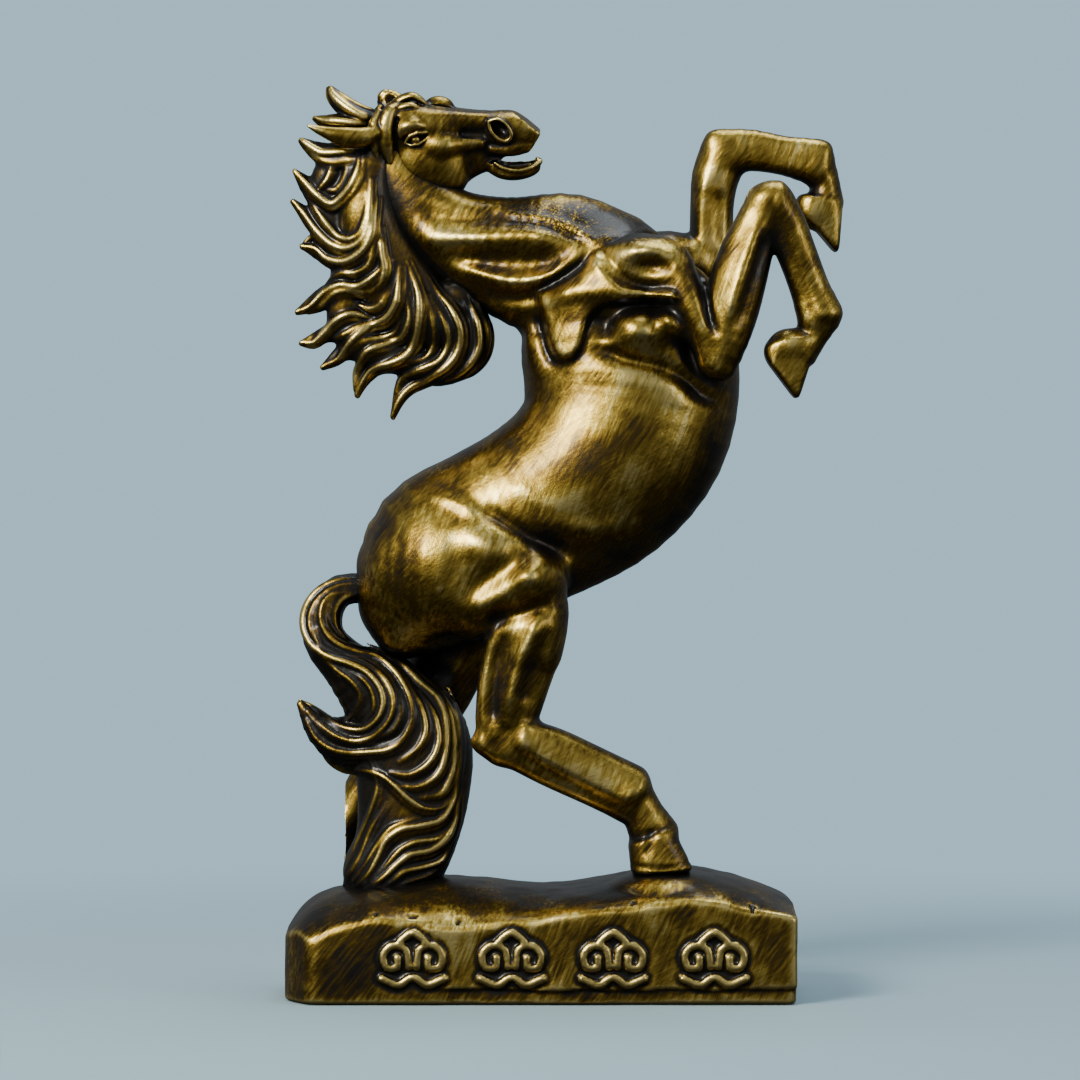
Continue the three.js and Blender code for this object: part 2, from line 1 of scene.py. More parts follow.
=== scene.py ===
"""A rearing horse in patinated bronze on a rock-shaped plinth.

The castings are modelled as clay: signed distances on a regular grid, built up from tapered limbs and
muscles, drawn on in relief, and then skinned with quads. Design sizes are in millimetres from the
centre of the plinth's underside, +X the way the horse faces, and are scaled onto the CAD's plinth.
"""
import bpy
import math
import numpy as np
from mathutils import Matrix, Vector


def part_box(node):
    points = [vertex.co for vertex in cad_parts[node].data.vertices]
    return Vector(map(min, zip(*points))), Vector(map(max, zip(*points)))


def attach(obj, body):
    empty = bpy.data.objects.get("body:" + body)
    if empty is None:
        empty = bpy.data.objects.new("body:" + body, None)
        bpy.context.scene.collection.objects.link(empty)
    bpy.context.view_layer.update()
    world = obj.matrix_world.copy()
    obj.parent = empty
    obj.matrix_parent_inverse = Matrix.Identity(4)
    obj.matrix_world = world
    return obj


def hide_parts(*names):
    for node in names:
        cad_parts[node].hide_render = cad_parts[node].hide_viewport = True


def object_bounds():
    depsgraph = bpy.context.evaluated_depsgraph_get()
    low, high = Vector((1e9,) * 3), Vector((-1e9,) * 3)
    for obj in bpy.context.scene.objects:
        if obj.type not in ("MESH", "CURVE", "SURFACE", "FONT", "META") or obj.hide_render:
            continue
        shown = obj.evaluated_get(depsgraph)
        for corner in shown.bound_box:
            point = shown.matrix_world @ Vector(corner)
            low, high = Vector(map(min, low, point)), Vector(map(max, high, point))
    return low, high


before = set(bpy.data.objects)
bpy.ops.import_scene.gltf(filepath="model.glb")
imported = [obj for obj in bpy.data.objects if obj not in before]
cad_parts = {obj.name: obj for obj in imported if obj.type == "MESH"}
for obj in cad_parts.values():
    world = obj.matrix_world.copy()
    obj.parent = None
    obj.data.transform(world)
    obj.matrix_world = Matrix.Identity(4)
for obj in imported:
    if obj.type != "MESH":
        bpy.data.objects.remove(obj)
CAD_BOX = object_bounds()

# ---------------------------------------------------------------- frame to design sizes

PLINTH_LOW, PLINTH_HIGH = (np.array(corner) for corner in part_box("plinth_casting"))
DESIGN_LENGTH = 219.0
UNIT = (PLINTH_HIGH[0] - PLINTH_LOW[0]) / DESIGN_LENGTH  # metres in one design millimetre
ORIGIN = np.array([(PLINTH_LOW[0] + PLINTH_HIGH[0]) / 2, 0.0, CAD_BOX[0][2]])
COARSE = 1.0


def placed(points):
    """Points in design millimetres, in metres of the frame."""
    return ORIGIN + np.asarray(points) * UNIT


# ---------------------------------------------------------------- clay


def smooth_curve(stations, spacing):
    """Rows interpolated through the stations by a centripetal spline, about spacing apart."""
    stations = np.array(stations, float)
    gaps = np.linalg.norm(np.diff(stations[:, :3], axis=0), axis=1)
    knots = np.concatenate([[0], np.cumsum(np.sqrt(np.maximum(gaps, 1e-6)))])
    slopes = np.diff(stations, axis=0) / np.diff(knots)[:, None]
    tangents = np.empty_like(stations)
    tangents[0], tangents[-1] = slopes[0], slopes[-1]
    before, after = np.diff(knots)[:-1, None], np.diff(knots)[1:, None]
    tangents[1:-1] = (slopes[:-1] * after + slopes[1:] * before) / (before + after)
    rows = []
    for i, gap in enumerate(gaps):
        count = max(1, int(round(gap / spacing)))
        u = (np.arange(count) / count)[:, None]
        width = knots[i + 1] - knots[i]
        rows.append(
            (2 * u**3 - 3 * u**2 + 1) * stations[i]
            + (u**3 - 2 * u**2 + u) * width * tangents[i]
            + (3 * u**2 - 2 * u**3) * stations[i + 1]
            + (u**3 - u**2) * width * tangents[i + 1]
        )
    rows.append(stations[-1:])
    return np.concatenate(rows)


def flat_curve(points, spacing):
    """The same for points of the side view."""
    return smooth_curve([(x, 0, z) for x, z in points], spacing)[:, [0, 2]]


def smooth_min(a, b, blend):
    if blend <= 0:
        return np.minimum(a, b)
    h = np.maximum(blend - np.abs(a - b), 0) / blend
    return np.minimum(a, b) - h * h * blend / 4


class Clay:
    """Signed distances in millimetres on a regular grid, negative inside."""

    FAR = 25.0  # the distance where nothing is near
    CORE = 0.05  # within this share of the radii the distance is the smaller radius

    def __init__(self, low, high, pitch, roll=0.0, pivot=(0, 0, 0)):
        """Roll turns the finished clay about a line along X through the pivot, in degrees."""
        self.pitch = pitch * COARSE
        c, s = math.cos(math.radians(roll)), math.sin(math.radians(roll))
        self.turn = np.array([(1, 0, 0), (0, c, -s), (0, s, c)])
        self.pivot = np.array(pivot, float)
        self.low = np.array(low, float)
        shape = np.ceil((np.array(high) - self.low) / self.pitch).astype(int) + 1
        self.field = np.full(shape, self.FAR, np.float32)

    def window(self, low, high):
        shape = self.field.shape
        first = np.floor((np.asarray(low) - self.low) / self.pitch).astype(int)
        last = np.ceil((np.asarray(high) - self.low) / self.pitch).astype(int) + 1
        return tuple(slice(max(0, min(a, n)), max(0, min(b, n))) for a, b, n in zip(first, last, shape))

    def axes(self, window):
        return [
            (self.low[i] + self.pitch * np.arange(part.start, part.stop)).astype(np.float32)
            for i, part in enumerate(window)
        ]

    def grid(self, window):
        x, y, z = self.axes(window)
        return x[:, None, None], y[None, :, None], z[None, None, :]

    def limb_field(self, stations, spacing, reach, square=2.0, cap=0.85):
        """The distance to a limb of elliptical sections, and the window of the grid it was worked out in."""
        rows = smooth_curve(stations, spacing)
        radius = rows[:, 3:5].max(axis=1)
        margin = (radius + reach)[:, None]
        whole = self.window((rows[:, :3] - margin).min(axis=0), (rows[:, :3] + margin).max(axis=0))
        out = np.full([part.stop - part.start for part in whole], self.FAR, np.float32)
        for a, b in zip(rows[:-1], rows[1:]):
            pad = max(a[3], a[4], b[3], b[4]) + reach
            inner = self.window(np.minimum(a[:3], b[:3]) - pad, np.maximum(a[:3], b[:3]) + pad)
            inner = tuple(
                slice(max(part.start, base.start), min(part.stop, base.stop)) for part, base in zip(inner,
                                                                                                    whole)
            )
            if any(part.stop <= part.start for part in inner):
                continue
            x, y, z = self.grid(inner)
            along = b[:3] - a[:3]
            length = np.linalg.norm(along)
            along = along / length
            side = np.cross([0, 1, 0], along)
            side = side / max(np.linalg.norm(side), 1e-6)
            deep = np.cross(along, side)
            px, py, pz = x - a[0], y - a[1], z - a[2]
            t = px * along[0] + py * along[1] + pz * along[2]
            u = np.clip(t / length, 0, 1)
            over = t - u * length
            s = px * side[0] + py * side[1] + pz * side[2]
            d = px * deep[0] + py * deep[1] + pz * deep[2]
            rs = a[3] + (b[3] - a[3]) * u
            rd = a[4] + (b[4] - a[4]) * u
            if square == 2.0:
                k = np.sqrt((s / rs) ** 2 + (d / rd) ** 2 + (over / (np.minimum(rs, rd) * cap)) ** 2)
            else:
                k = (
                    np.abs(s / rs) ** square
                    + np.abs(d / rd) ** square
                    + np.abs(over / (np.minimum(rs, rd) * cap)) ** square
                ) ** (1 / square)
            k = np.maximum(k, 1e-4)
            size = np.sqrt(s * s + d * d + over * over)
            distance = np.where(k < self.CORE, -np.minimum(rs, rd), size * (1 - 1 / k))
            place = tuple(
                slice(part.start - base.start, part.stop - base.start) for part, base in zip(inner, whole)
            )
            out[place] = np.minimum(out[place], distance)
        return whole, out

    def limb(self, stations, blend=4.0, spacing=5.0, square=2.0, cap=0.85, cut=False):
        window, distance = self.limb_field(stations, spacing, blend + 3 * self.pitch, square, cap)
        self.merge(window, distance, blend, cut)

    def merge(self, window, distance, blend, cut=False):
        here = self.field[window]
        if cut:
            self.field[window] = -smooth_min(-here, distance, blend)
        else:
            self.field[window] = smooth_min(here, distance, blend)

    def egg(self, centre, radii, blend=4.0, tilt=0.0, turn=0.0, cut=False):
        """An ellipsoid. Tilt turns it in the side view, turn about the vertical, in degrees."""
        centre = np.array(centre, float)
        radii = np.array(radii, float)
        pad = radii.max() + blend + 3 * self.pitch
        window = self.window(centre - pad, centre + pad)
        x, y, z = self.grid(window)
        c, s = math.cos(math.radians(tilt)), math.sin(math.radians(tilt))
        ct, st = math.cos(math.radians(turn)), math.sin(math.radians(turn))
        px, py, pz = x - centre[0], y - centre[1], z - centre[2]
        px, py = px * ct + py * st, -px * st + py * ct
        qx, qz = px * c + pz * s, -px * s + pz * c
        k = np.maximum(np.sqrt((qx / radii[0]) ** 2 + (py / radii[1]) ** 2 + (qz / radii[2]) ** 2), 1e-4)
        size = np.sqrt(qx * qx + py * py + qz * qz)
        distance = np.where(k < self.CORE, -radii.min(), size * (1 - 1 / k))
        self.merge(window, distance, blend, cut)

    def rolled(self, points):
        """Points of the clay's own frame, in the statue's."""
        return (points - self.pivot) @ self.turn.T + self.pivot

    def sample(self, points):
        """The field at points of the statue, by trilinear interpolation; FAR outside the grid."""
        return self.own_sample((points - self.pivot) @ self.turn + self.pivot)

    def own_sample(self, points):
        where = (points - self.low) / self.pitch
        limit = np.array(self.field.shape) - 1
        inside = np.all((where >= 0) & (where <= limit - 1e-3), axis=1)
        where = np.clip(where, 0, limit - 1e-3)
        base = np.floor(where).astype(int)
        f = where - base
        total = np.zeros(len(points))
        for corner in range(8):
            dx, dy, dz = corner & 1, corner >> 1 & 1, corner >> 2 & 1
            weight = (
                (f[:, 0] if dx else 1 - f[:, 0])
                * (f[:, 1] if dy else 1 - f[:, 1])
                * (f[:, 2] if dz else 1 - f[:, 2])
            )
            total += weight * self.field[base[:, 0] + dx, base[:, 1] + dy, base[:, 2] + dz]
        return np.where(inside, total, self.FAR)

    def gradient(self, points):
        step = self.pitch * 0.5
        out = np.empty_like(points)
        for i in range(3):
            shift = np.zeros(3)
            shift[i] = step
            out[:, i] = self.own_sample(points + shift) - self.own_sample(points - shift)
        return out / np.maximum(np.linalg.norm(out, axis=1), 1e-9)[:, None]


class Relief:
    """Heights drawn in the side view, laid onto one flank of the clay."""

    SOFT = 1.25  # widens every stroke
    DEPTH = 0.72  # lowers every stroke
    FADE = 5  # how fast a stroke gains strength from its ends, over its whole length
    TIP = 0.15  # its strength at the very end
    FALL = 1.4  # how fast a boss falls off

    def __init__(self, clay):
        self.clay = clay
        everything = tuple(slice(0, n) for n in clay.field.shape)
        x, _, z = clay.axes(everything)
        self.x, self.z = x[:, None], z[None, :]
        self.height = np.zeros((len(x), len(z)), np.float32)

    def from_segment(self, a, b):
        """The distance to a straight piece of line, and how far along it the nearest point is."""
        d = b - a
        u = np.clip(((self.x - a[0]) * d[0] + (self.z - a[1]) * d[1]) / max(d @ d, 1e-9), 0, 1)
        return np.hypot(self.x - a[0] - u * d[0], self.z - a[1] - u * d[1]), u

    def near_line(self, points, spacing=2.0):
        """The distance to a line in the side view, and how far along it the nearest point is, 0 to 1."""
        rows = flat_curve(points, spacing)
        best = np.full(self.height.shape, 1e3, np.float32)
        along = np.zeros(self.height.shape, np.float32)
        for i, (a, b) in enumerate(zip(rows[:-1], rows[1:])):
            distance, u = self.from_segment(a, b)
            closer = distance < best
            best = np.where(closer, distance, best)
            along = np.where(closer, (i + u) / (len(rows) - 1), along)
        return best, along

    def stroke(self, points, height, width, taper=True):
        """A ridge, or with a negative height a groove, that fades at its ends."""
        distance, along = self.near_line(points)
        strength = np.exp(-((distance / (width * self.SOFT)) ** 2))
        if taper:
            strength = strength * np.clip(np.minimum(along, 1 - along) * self.FADE + self.TIP, 0, 1)
        self.height += height * self.DEPTH * strength

    def plate(self, outline, height, soft):
        """A raised or sunken area with soft edges."""
        corners = flat_curve(outline + outline[:1], 2.0)
        inside = np.zeros(self.height.shape, bool)
        edge = np.full(self.height.shape, 1e3, np.float32)
        for a, b in zip(corners[:-1], corners[1:]):
            d = b - a
            edge = np.minimum(edge, self.from_segment(a, b)[0])
            crosses = (a[1] > self.z) != (b[1] > self.z)
            slope = d[0] / d[1] if abs(d[1]) > 1e-9 else 0.0
            inside ^= crosses & (self.x < a[0] + (self.z - a[1]) * slope)
        signed = np.where(inside, edge, -edge)
        t = np.clip(signed / (2 * soft) + 0.5, 0, 1)
        self.height += height * (t * t * (3 - 2 * t))

    def boss(self, centre, radii, height, tilt=0.0):
        """A round swelling, or with a negative height a pit."""
        c, s = math.cos(math.radians(tilt)), math.sin(math.radians(tilt))
        px, pz = self.x - centre[0], self.z - centre[1]
        qx, qz = (px * c + pz * s) / radii[0], (-px * s + pz * c) / radii[1]
        self.height += height * np.exp(-(qx * qx + qz * qz) * self.FALL)

    def press(self, flank, start=4.0, full=14.0):
        """Lays the relief on the flank at negative Y (-1) or positive Y (+1)."""
        everything = tuple(slice(0, n) for n in self.clay.field.shape)
        y = self.clay.axes(everything)[1] * flank
        t = np.clip((y - start) / (full - start), 0, 1)
        mask = t * t * (3 - 2 * t)
        for j in np.flatnonzero(mask > 0):
            self.clay.field[:, j, :] -= self.height * mask[j]


# ---------------------------------------------------------------- skin over clay


CELL_CORNERS = [(dx, dy, dz) for dx in (0, 1) for dy in (0, 1) for dz in (0, 1)]
STEP_BACK = 0.7  # share of the remaining distance taken in each step onto the surface


def skin(clay):
    """Vertices and quads where the clay's field is zero, by surface nets."""
    field = clay.field
    inside = field < 0
    nx, ny, nz = field.shape
    some = np.zeros((nx - 1, ny - 1, nz - 1), bool)
    every = np.ones_like(some)
    for dx, dy, dz in CELL_CORNERS:
        corner = inside[dx : nx - 1 + dx, dy : ny - 1 + dy, dz : nz - 1 + dz]
        some |= corner
        every &= corner
    cells = np.argwhere(some & ~every)
    number = np.full(some.shape, -1, np.int32)
    number[cells[:, 0], cells[:, 1], cells[:, 2]] = np.arange(len(cells))
    values = {}
    for dx, dy, dz in CELL_CORNERS:
        values[dx, dy, dz] = field[cells[:, 0] + dx, cells[:, 1] + dy, cells[:, 2] + dz]
    total = np.zeros((len(cells), 3))
    count = np.zeros(len(cells))
    for a in values:
        for axis in range(3):
            if a[axis]:
                continue
            b = tuple(1 if i == axis else a[i] for i in range(3))
            va, vb = values[a], values[b]
            crosses = (va < 0) != (vb < 0)
            t = np.where(crosses, va / np.where(crosses, va - vb, 1), 0)
            for i in range(3):
                total[:, i] += np.where(crosses, a[i] + (t if i == axis else 0), 0)
            count += crosses
    points = clay.low + (cells + total / count[:, None]) * clay.pitch
    quads = []
    for axis in range(3):
        u, v = [(1, 2), (2, 0), (0, 1)][axis]
        low = [slice(0, None)] * 3
        high = [slice(0, None)] * 3
        low[axis], high[axis] = slice(0, -1), slice(1, None)
        a, b = inside[tuple(low)], inside[tuple(high)]
        edges = np.argwhere(a != b)
        edges = edges[(edges[:, u] > 0) & (edges[:, v] > 0)]
        edges = edges[(edges[:, u] < field.shape[u] - 1) & (edges[:, v] < field.shape[v] - 1)]
        ring = []
        for du, dv in ((-1, -1), (0, -1), (0, 0), (-1, 0)):
            cell = edges.copy()
            cell[:, u] += du
            cell[:, v] += dv
            ring.append(number[cell[:, 0], cell[:, 1], cell[:, 2]])
        ring = np.stack(ring, axis=1)
        outward = a[edges[:, 0], edges[:, 1], edges[:, 2]]
        ring[~outward] = ring[~outward][:, ::-1]
        quads.append(ring)
    quads = np.concatenate(quads)
    for _ in range(2):
        points -= clay.gradient(points) * clay.own_sample(points)[:, None] * STEP_BACK
    return points, quads


def biggest_shell(points, quads):
    """Only the largest connected shell, so no crumbs are left."""
    label = np.arange(len(points))
    while True:
        lowest = label[quads].min(axis=1)
        new = label.copy()
        for i in range(4):
            np.minimum.at(new, quads[:, i], lowest)
        new = new[new]
        if np.array_equal(new, label):
            break
        label = new
    keep = np.bincount(label, minlength=len(points)).argmax()
    chosen = label == keep
    renumber = np.cumsum(chosen) - 1
    kept = quads[chosen[quads[:, 0]]]
    return points[chosen], renumber[kept]


def relaxed(values, quads, times):
    """Per-vertex values averaged with their neighbours, again and again."""
    a = np.concatenate([quads[:, i] for i in range(4)])
    b = np.concatenate([quads[:, (i + 1) % 4] for i in range(4)])
    degree = np.bincount(a, minlength=len(values)) + np.bincount(b, minlength=len(values))
    values = np.array(values, float)
    flat = values.ndim == 1
    if flat:
        values = values[:, None]
    for _ in range(times):
        new = np.empty_like(values)
        for i in range(values.shape[1]):
            new[:, i] = np.bincount(a, values[b, i], len(values)) + np.bincount(b, values[a, i],
                                                                                len(values))
        values = 0.5 * values + 0.5 * new / np.maximum(degree, 1)[:, None]
    return values[:, 0] if flat else values


def surroundings(points):
    """The distance to the nearest of the finished clays."""
    nearest = np.full(len(points), Clay.FAR)
    for clay in CLAYS:
        nearest = np.minimum(nearest, clay.sample(points))
    return nearest


def hollowness(points, normals, reaches):
    """0 in the open, towards 1 in grooves, folds, under overhangs and between neighbouring castings; it
    darkens the bronze partly as dark patina in the hollows and partly as painted shade.
    """
    closed = np.zeros(len(points))
    for reach in reaches:
        gap = surroundings(points + normals * reach)
        closed += np.clip((reach - gap) / reach, 0, 1.5)
    return np.clip(closed / len(reaches), 0, 1)


def ridgeness(points, quads, normals, times):
    """Positive on ridges and edges, negative in grooves, in millimetres above the smoothed surface."""
    smooth = relaxed(points, quads, times)
    return ((points - smooth) * normals).sum(axis=1)


def add_object(name, data):
    obj = bpy.data.objects.new(name, data)
    bpy.context.scene.collection.objects.link(obj)
    return obj


def add_mesh(name, points, faces):
    mesh = bpy.data.meshes.new(name)
    mesh.from_pydata(placed(points).tolist(), [], [list(map(int, face)) for face in faces])
    mesh.update()
    obj = add_object(name, mesh)
    mesh.polygons.foreach_set("use_smooth", np.ones(len(mesh.polygons), bool))
    return obj


def quad_mesh(name, points, quads):
    mesh = bpy.data.meshes.new(name)
    mesh.vertices.add(len(points))
    mesh.vertices.foreach_set("co", placed(points).astype(np.float32).ravel())
    mesh.loops.add(len(quads) * 4)
    mesh.loops.foreach_set("vertex_index", quads.astype(np.int32).ravel())
    mesh.polygons.add(len(quads))
    mesh.polygons.foreach_set("loop_start", np.arange(0, len(quads) * 4, 4, dtype=np.int32))
    mesh.polygons.foreach_set("use_smooth", np.ones(len(quads), bool))
    mesh.update(calc_edges=True)
    obj = add_object(name, mesh)
    return obj


def paint(obj, name, values):
    attribute = obj.data.attributes.new(name, "FLOAT", "POINT")
    attribute.data.foreach_set("value", np.asarray(values, np.float32))


def finish_piece(obj, material, nodes):
    obj.data.materials.append(material)
    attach(obj, "root")
    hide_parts(*nodes)


def mirrored(stations):
    """The same stations on the other flank."""
    return [(row[0], -row[1]) + tuple(row[2:]) for row in stations]


# ---------------------------------------------------------------- the body

TRUNK = [
    (-60, 0, 157, 13, 18),
    (-54, 0, 173, 28, 26),
    (-42, 0, 189, 37, 31),
    (-22, 0, 200, 38, 33),
    (1, 0, 211, 40, 35),
    (23, 0, 226, 43, 36),
    (37, 0, 246, 45.5, 36),
    (40, 0, 268, 47, 34),
    (37, 0, 287, 46, 32),
    (32, 0, 301, 39, 29),
    (24, 0, 312, 30, 26),
]
NECK = [
    (26, 0, 308, 34, 24),
    (10, 0, 316, 33, 23),
    (-6, 0, 319, 29, 21),
    (-22, 0, 324, 24, 18),
    (-38, 0, 331.5, 19.5, 14.5),
    (-52, 0, 343, 16, 11.5),
    (-62, 0, 358, 12.5, 9),
    (-66, 0, 369, 9.5, 8),
]
HAUNCH = [
    (-62, -13, 186, 19, 13),
    (-45, -19, 185, 28, 16),
    (-22, -21, 183, 26, 17),
    (-4, -23, 183, 17, 15),
    (3, -24, 181, 10, 12),
]
NEAR_THIGH = [
    (-30, -20, 176, 22, 16),
    (-10, -23, 176, 19, 16),
    (-4, -24, 166, 16, 14),
    (-7, -24, 152, 16, 12),
]
NEAR_HIND_LEG = [
    (-5, -24, 170, 16, 13.5),
    (-7, -24, 152, 16, 12),
    (-11.5, -24, 133, 14.5, 10.5),
    (-14, -23, 116, 12.5, 9.5),
    (-11, -22.5, 109, 12.5, 9),
]
NEAR_CANNON = [
    (-15, -22.5, 112.5, 10.8, 8.5),
    (5, -22, 103, 11.6, 8.6),
    (24, -22, 94.2, 11.4, 8.2),
    (37.5, -22, 87.8, 11.4, 9),
]
NEAR_PASTERN = [
    (40, -22, 87, 9.5, 9),
    (44.5, -22, 79.5, 9, 8.8),
    (49, -22, 71, 11, 10),
]
FAR_THIGH = [
    (-36, 20, 176, 24, 16),
    (-34, 22, 162, 20, 15),
    (-40, 23, 148, 17, 13),
]
FAR_HIND_LEG = [
    (-38, 23, 152, 18, 13),
    (-48, 24, 128, 16, 13),
    (-67, 25, 101, 12, 10.5),
    (-84, 26, 75, 9, 9),
]
FAR_CANNON = [
    (-86, 26, 75, 7, 8.5),
    (-87, 26, 66, 6.5, 8),
    (-86, 26, 57, 6, 8),
    (-84, 26, 49, 8, 9.5),
]
NEAR_SHOULDER = [
    (18, -15, 300, 13, 12),
    (36, -19, 310, 16, 14),
    (50, -24, 314, 15, 13),
    (60, -28, 306, 11.5, 11),
    (68, -30, 291, 10.5, 10),
    (75, -31, 275, 9, 9),
]
FAR_SHOULDER = [
    (18, 15, 302, 14, 12),
    (38, 19, 312, 17, 14),
    (58, 24, 317, 17, 14),
    (75, 27, 317, 12.5, 11),
]
NEAR_FOREARM = [
    (77, -31, 272, 7.5, 9),
    (79, -31, 284, 10.5, 11),
    (82, -31, 297, 12, 11.5),
    (86, -31, 313, 12, 11),
    (92, -30, 329, 10, 9.5),
    (98, -30, 342, 9.5, 9.5),
]
NEAR_FORE_CANNON = [
    (98, -30, 343, 9, 9.5),
    (104, -29, 333, 8.5, 8.5),
    (110, -28, 319, 7.8, 7.8),
    (116, -27, 303, 8, 8),
    (119.5, -27, 294, 9.5, 9),
]
NEAR_FORE_PASTERN = [
    (120, -27, 292, 8.5, 8.5),
    (117, -27, 285, 6.5, 7.5),
    (112, -27, 279, 8, 8.5),
]
FAR_FOREARM = [
    (75, 27, 316, 12, 10.5),
    (76, 26, 328, 10, 10.5),
    (76, 25, 344, 9.5, 10.5),
    (77.5, 24, 358, 10.5, 10.5),
    (81, 24, 367, 11, 10),
]
FAR_FORE_CANNON = [
    (81, 24, 369, 10, 10),
    (93, 23, 369.5, 9, 8.5),
    (108, 22, 367, 8.5, 8),
    (121, 22, 364.5, 10, 9),
]
FAR_FORE_PASTERN = [
    (122, 22, 362, 9, 8.5),
    (126, 22, 354, 6.5, 7.5),
    (126, 22, 347, 8, 8.5),
]


HOOF_EDGE = 3.5  # rounding of the hoof in the side view
HOOF_WALL = 2.5  # and of its two sides


def hoof(clay, top_back, top_front, sole_back, sole_front, y, top_width, sole_width, blend=1.2):
    """A hoof between the coronet and the sole, each a line in the side view, with a flat cut sole."""
    top = (np.array(top_back, float) + top_front) / 2
    sole = (np.array(sole_back, float) + sole_front) / 2
    top_half = np.linalg.norm(np.subtract(top_front, top_back)) / 2
    sole_half = np.linalg.norm(np.subtract(sole_front, sole_back)) / 2
    reach = max(top_half, sole_half, sole_width) + np.linalg.norm(top - sole)
    middle = np.array([(top[0] + sole[0]) / 2, y, (top[1] + sole[1]) / 2])
    window = clay.window(middle - reach, middle + reach)
    x, yy, z = clay.grid(window)
    outline = [np.array(p, float) for p in (top_back, top_front, sole_front, sole_back)]
    area = sum(a[0] * b[1] - b[0] * a[1] for a, b in zip(outline, outline[1:] + outline[:1]))
    distance = np.full(np.broadcast(x, yy, z).shape, -1e3, np.float32)
    for a, b in zip(outline, outline[1:] + outline[:1]):
        d = (b - a) / np.linalg.norm(b - a)
        normal = np.array([d[1], -d[0]]) * (1 if area > 0 else -1)
        distance = -smooth_min(-distance, -((x - a[0]) * normal[0] + (z - a[1]) * normal[1]), HOOF_EDGE)
    axis = (sole - top) / np.linalg.norm(sole - top)
    t = np.clip(((x - top[0]) * axis[0] + (z - top[1]) * axis[1]) / np.linalg.norm(sole - top), 0, 1)
    cross = np.array([-axis[1], axis[0]])
    across = (x - top[0] - axis[0] * t) * cross[0] + (z - top[1] - axis[1] * t) * cross[1]
    half = top_half + (sole_half - top_half) * t
    bulge = np.sqrt(np.clip(1.12 - (across / (half * 1.15)) ** 2, 0.1, 1))
    width = (top_width + (sole_width - top_width) * t) * bulge
    distance = -smooth_min(-distance, -(np.abs(yy - y) - width), HOOF_WALL)
    clay.merge(window, distance, blend)


# Lines of the relief that both flanks share.
NECK_MUSCLE = [(-60, 331), (-50, 328), (-39, 327.5), (-26, 328), (-13, 329), (-4, 329), (5, 327), (12, 324)]
NECK_HOLLOW = [(-42, 320), (-28, 318.6), (-13, 317.6), (0, 317.6), (9, 319.4)]
BLADE_BACK = [(-2, 296), (1, 288), (3.5, 279), (7, 271.5)]
FLANK_SWELL = [(-2, 207), (12, 203), (25, 202), (37, 206)]


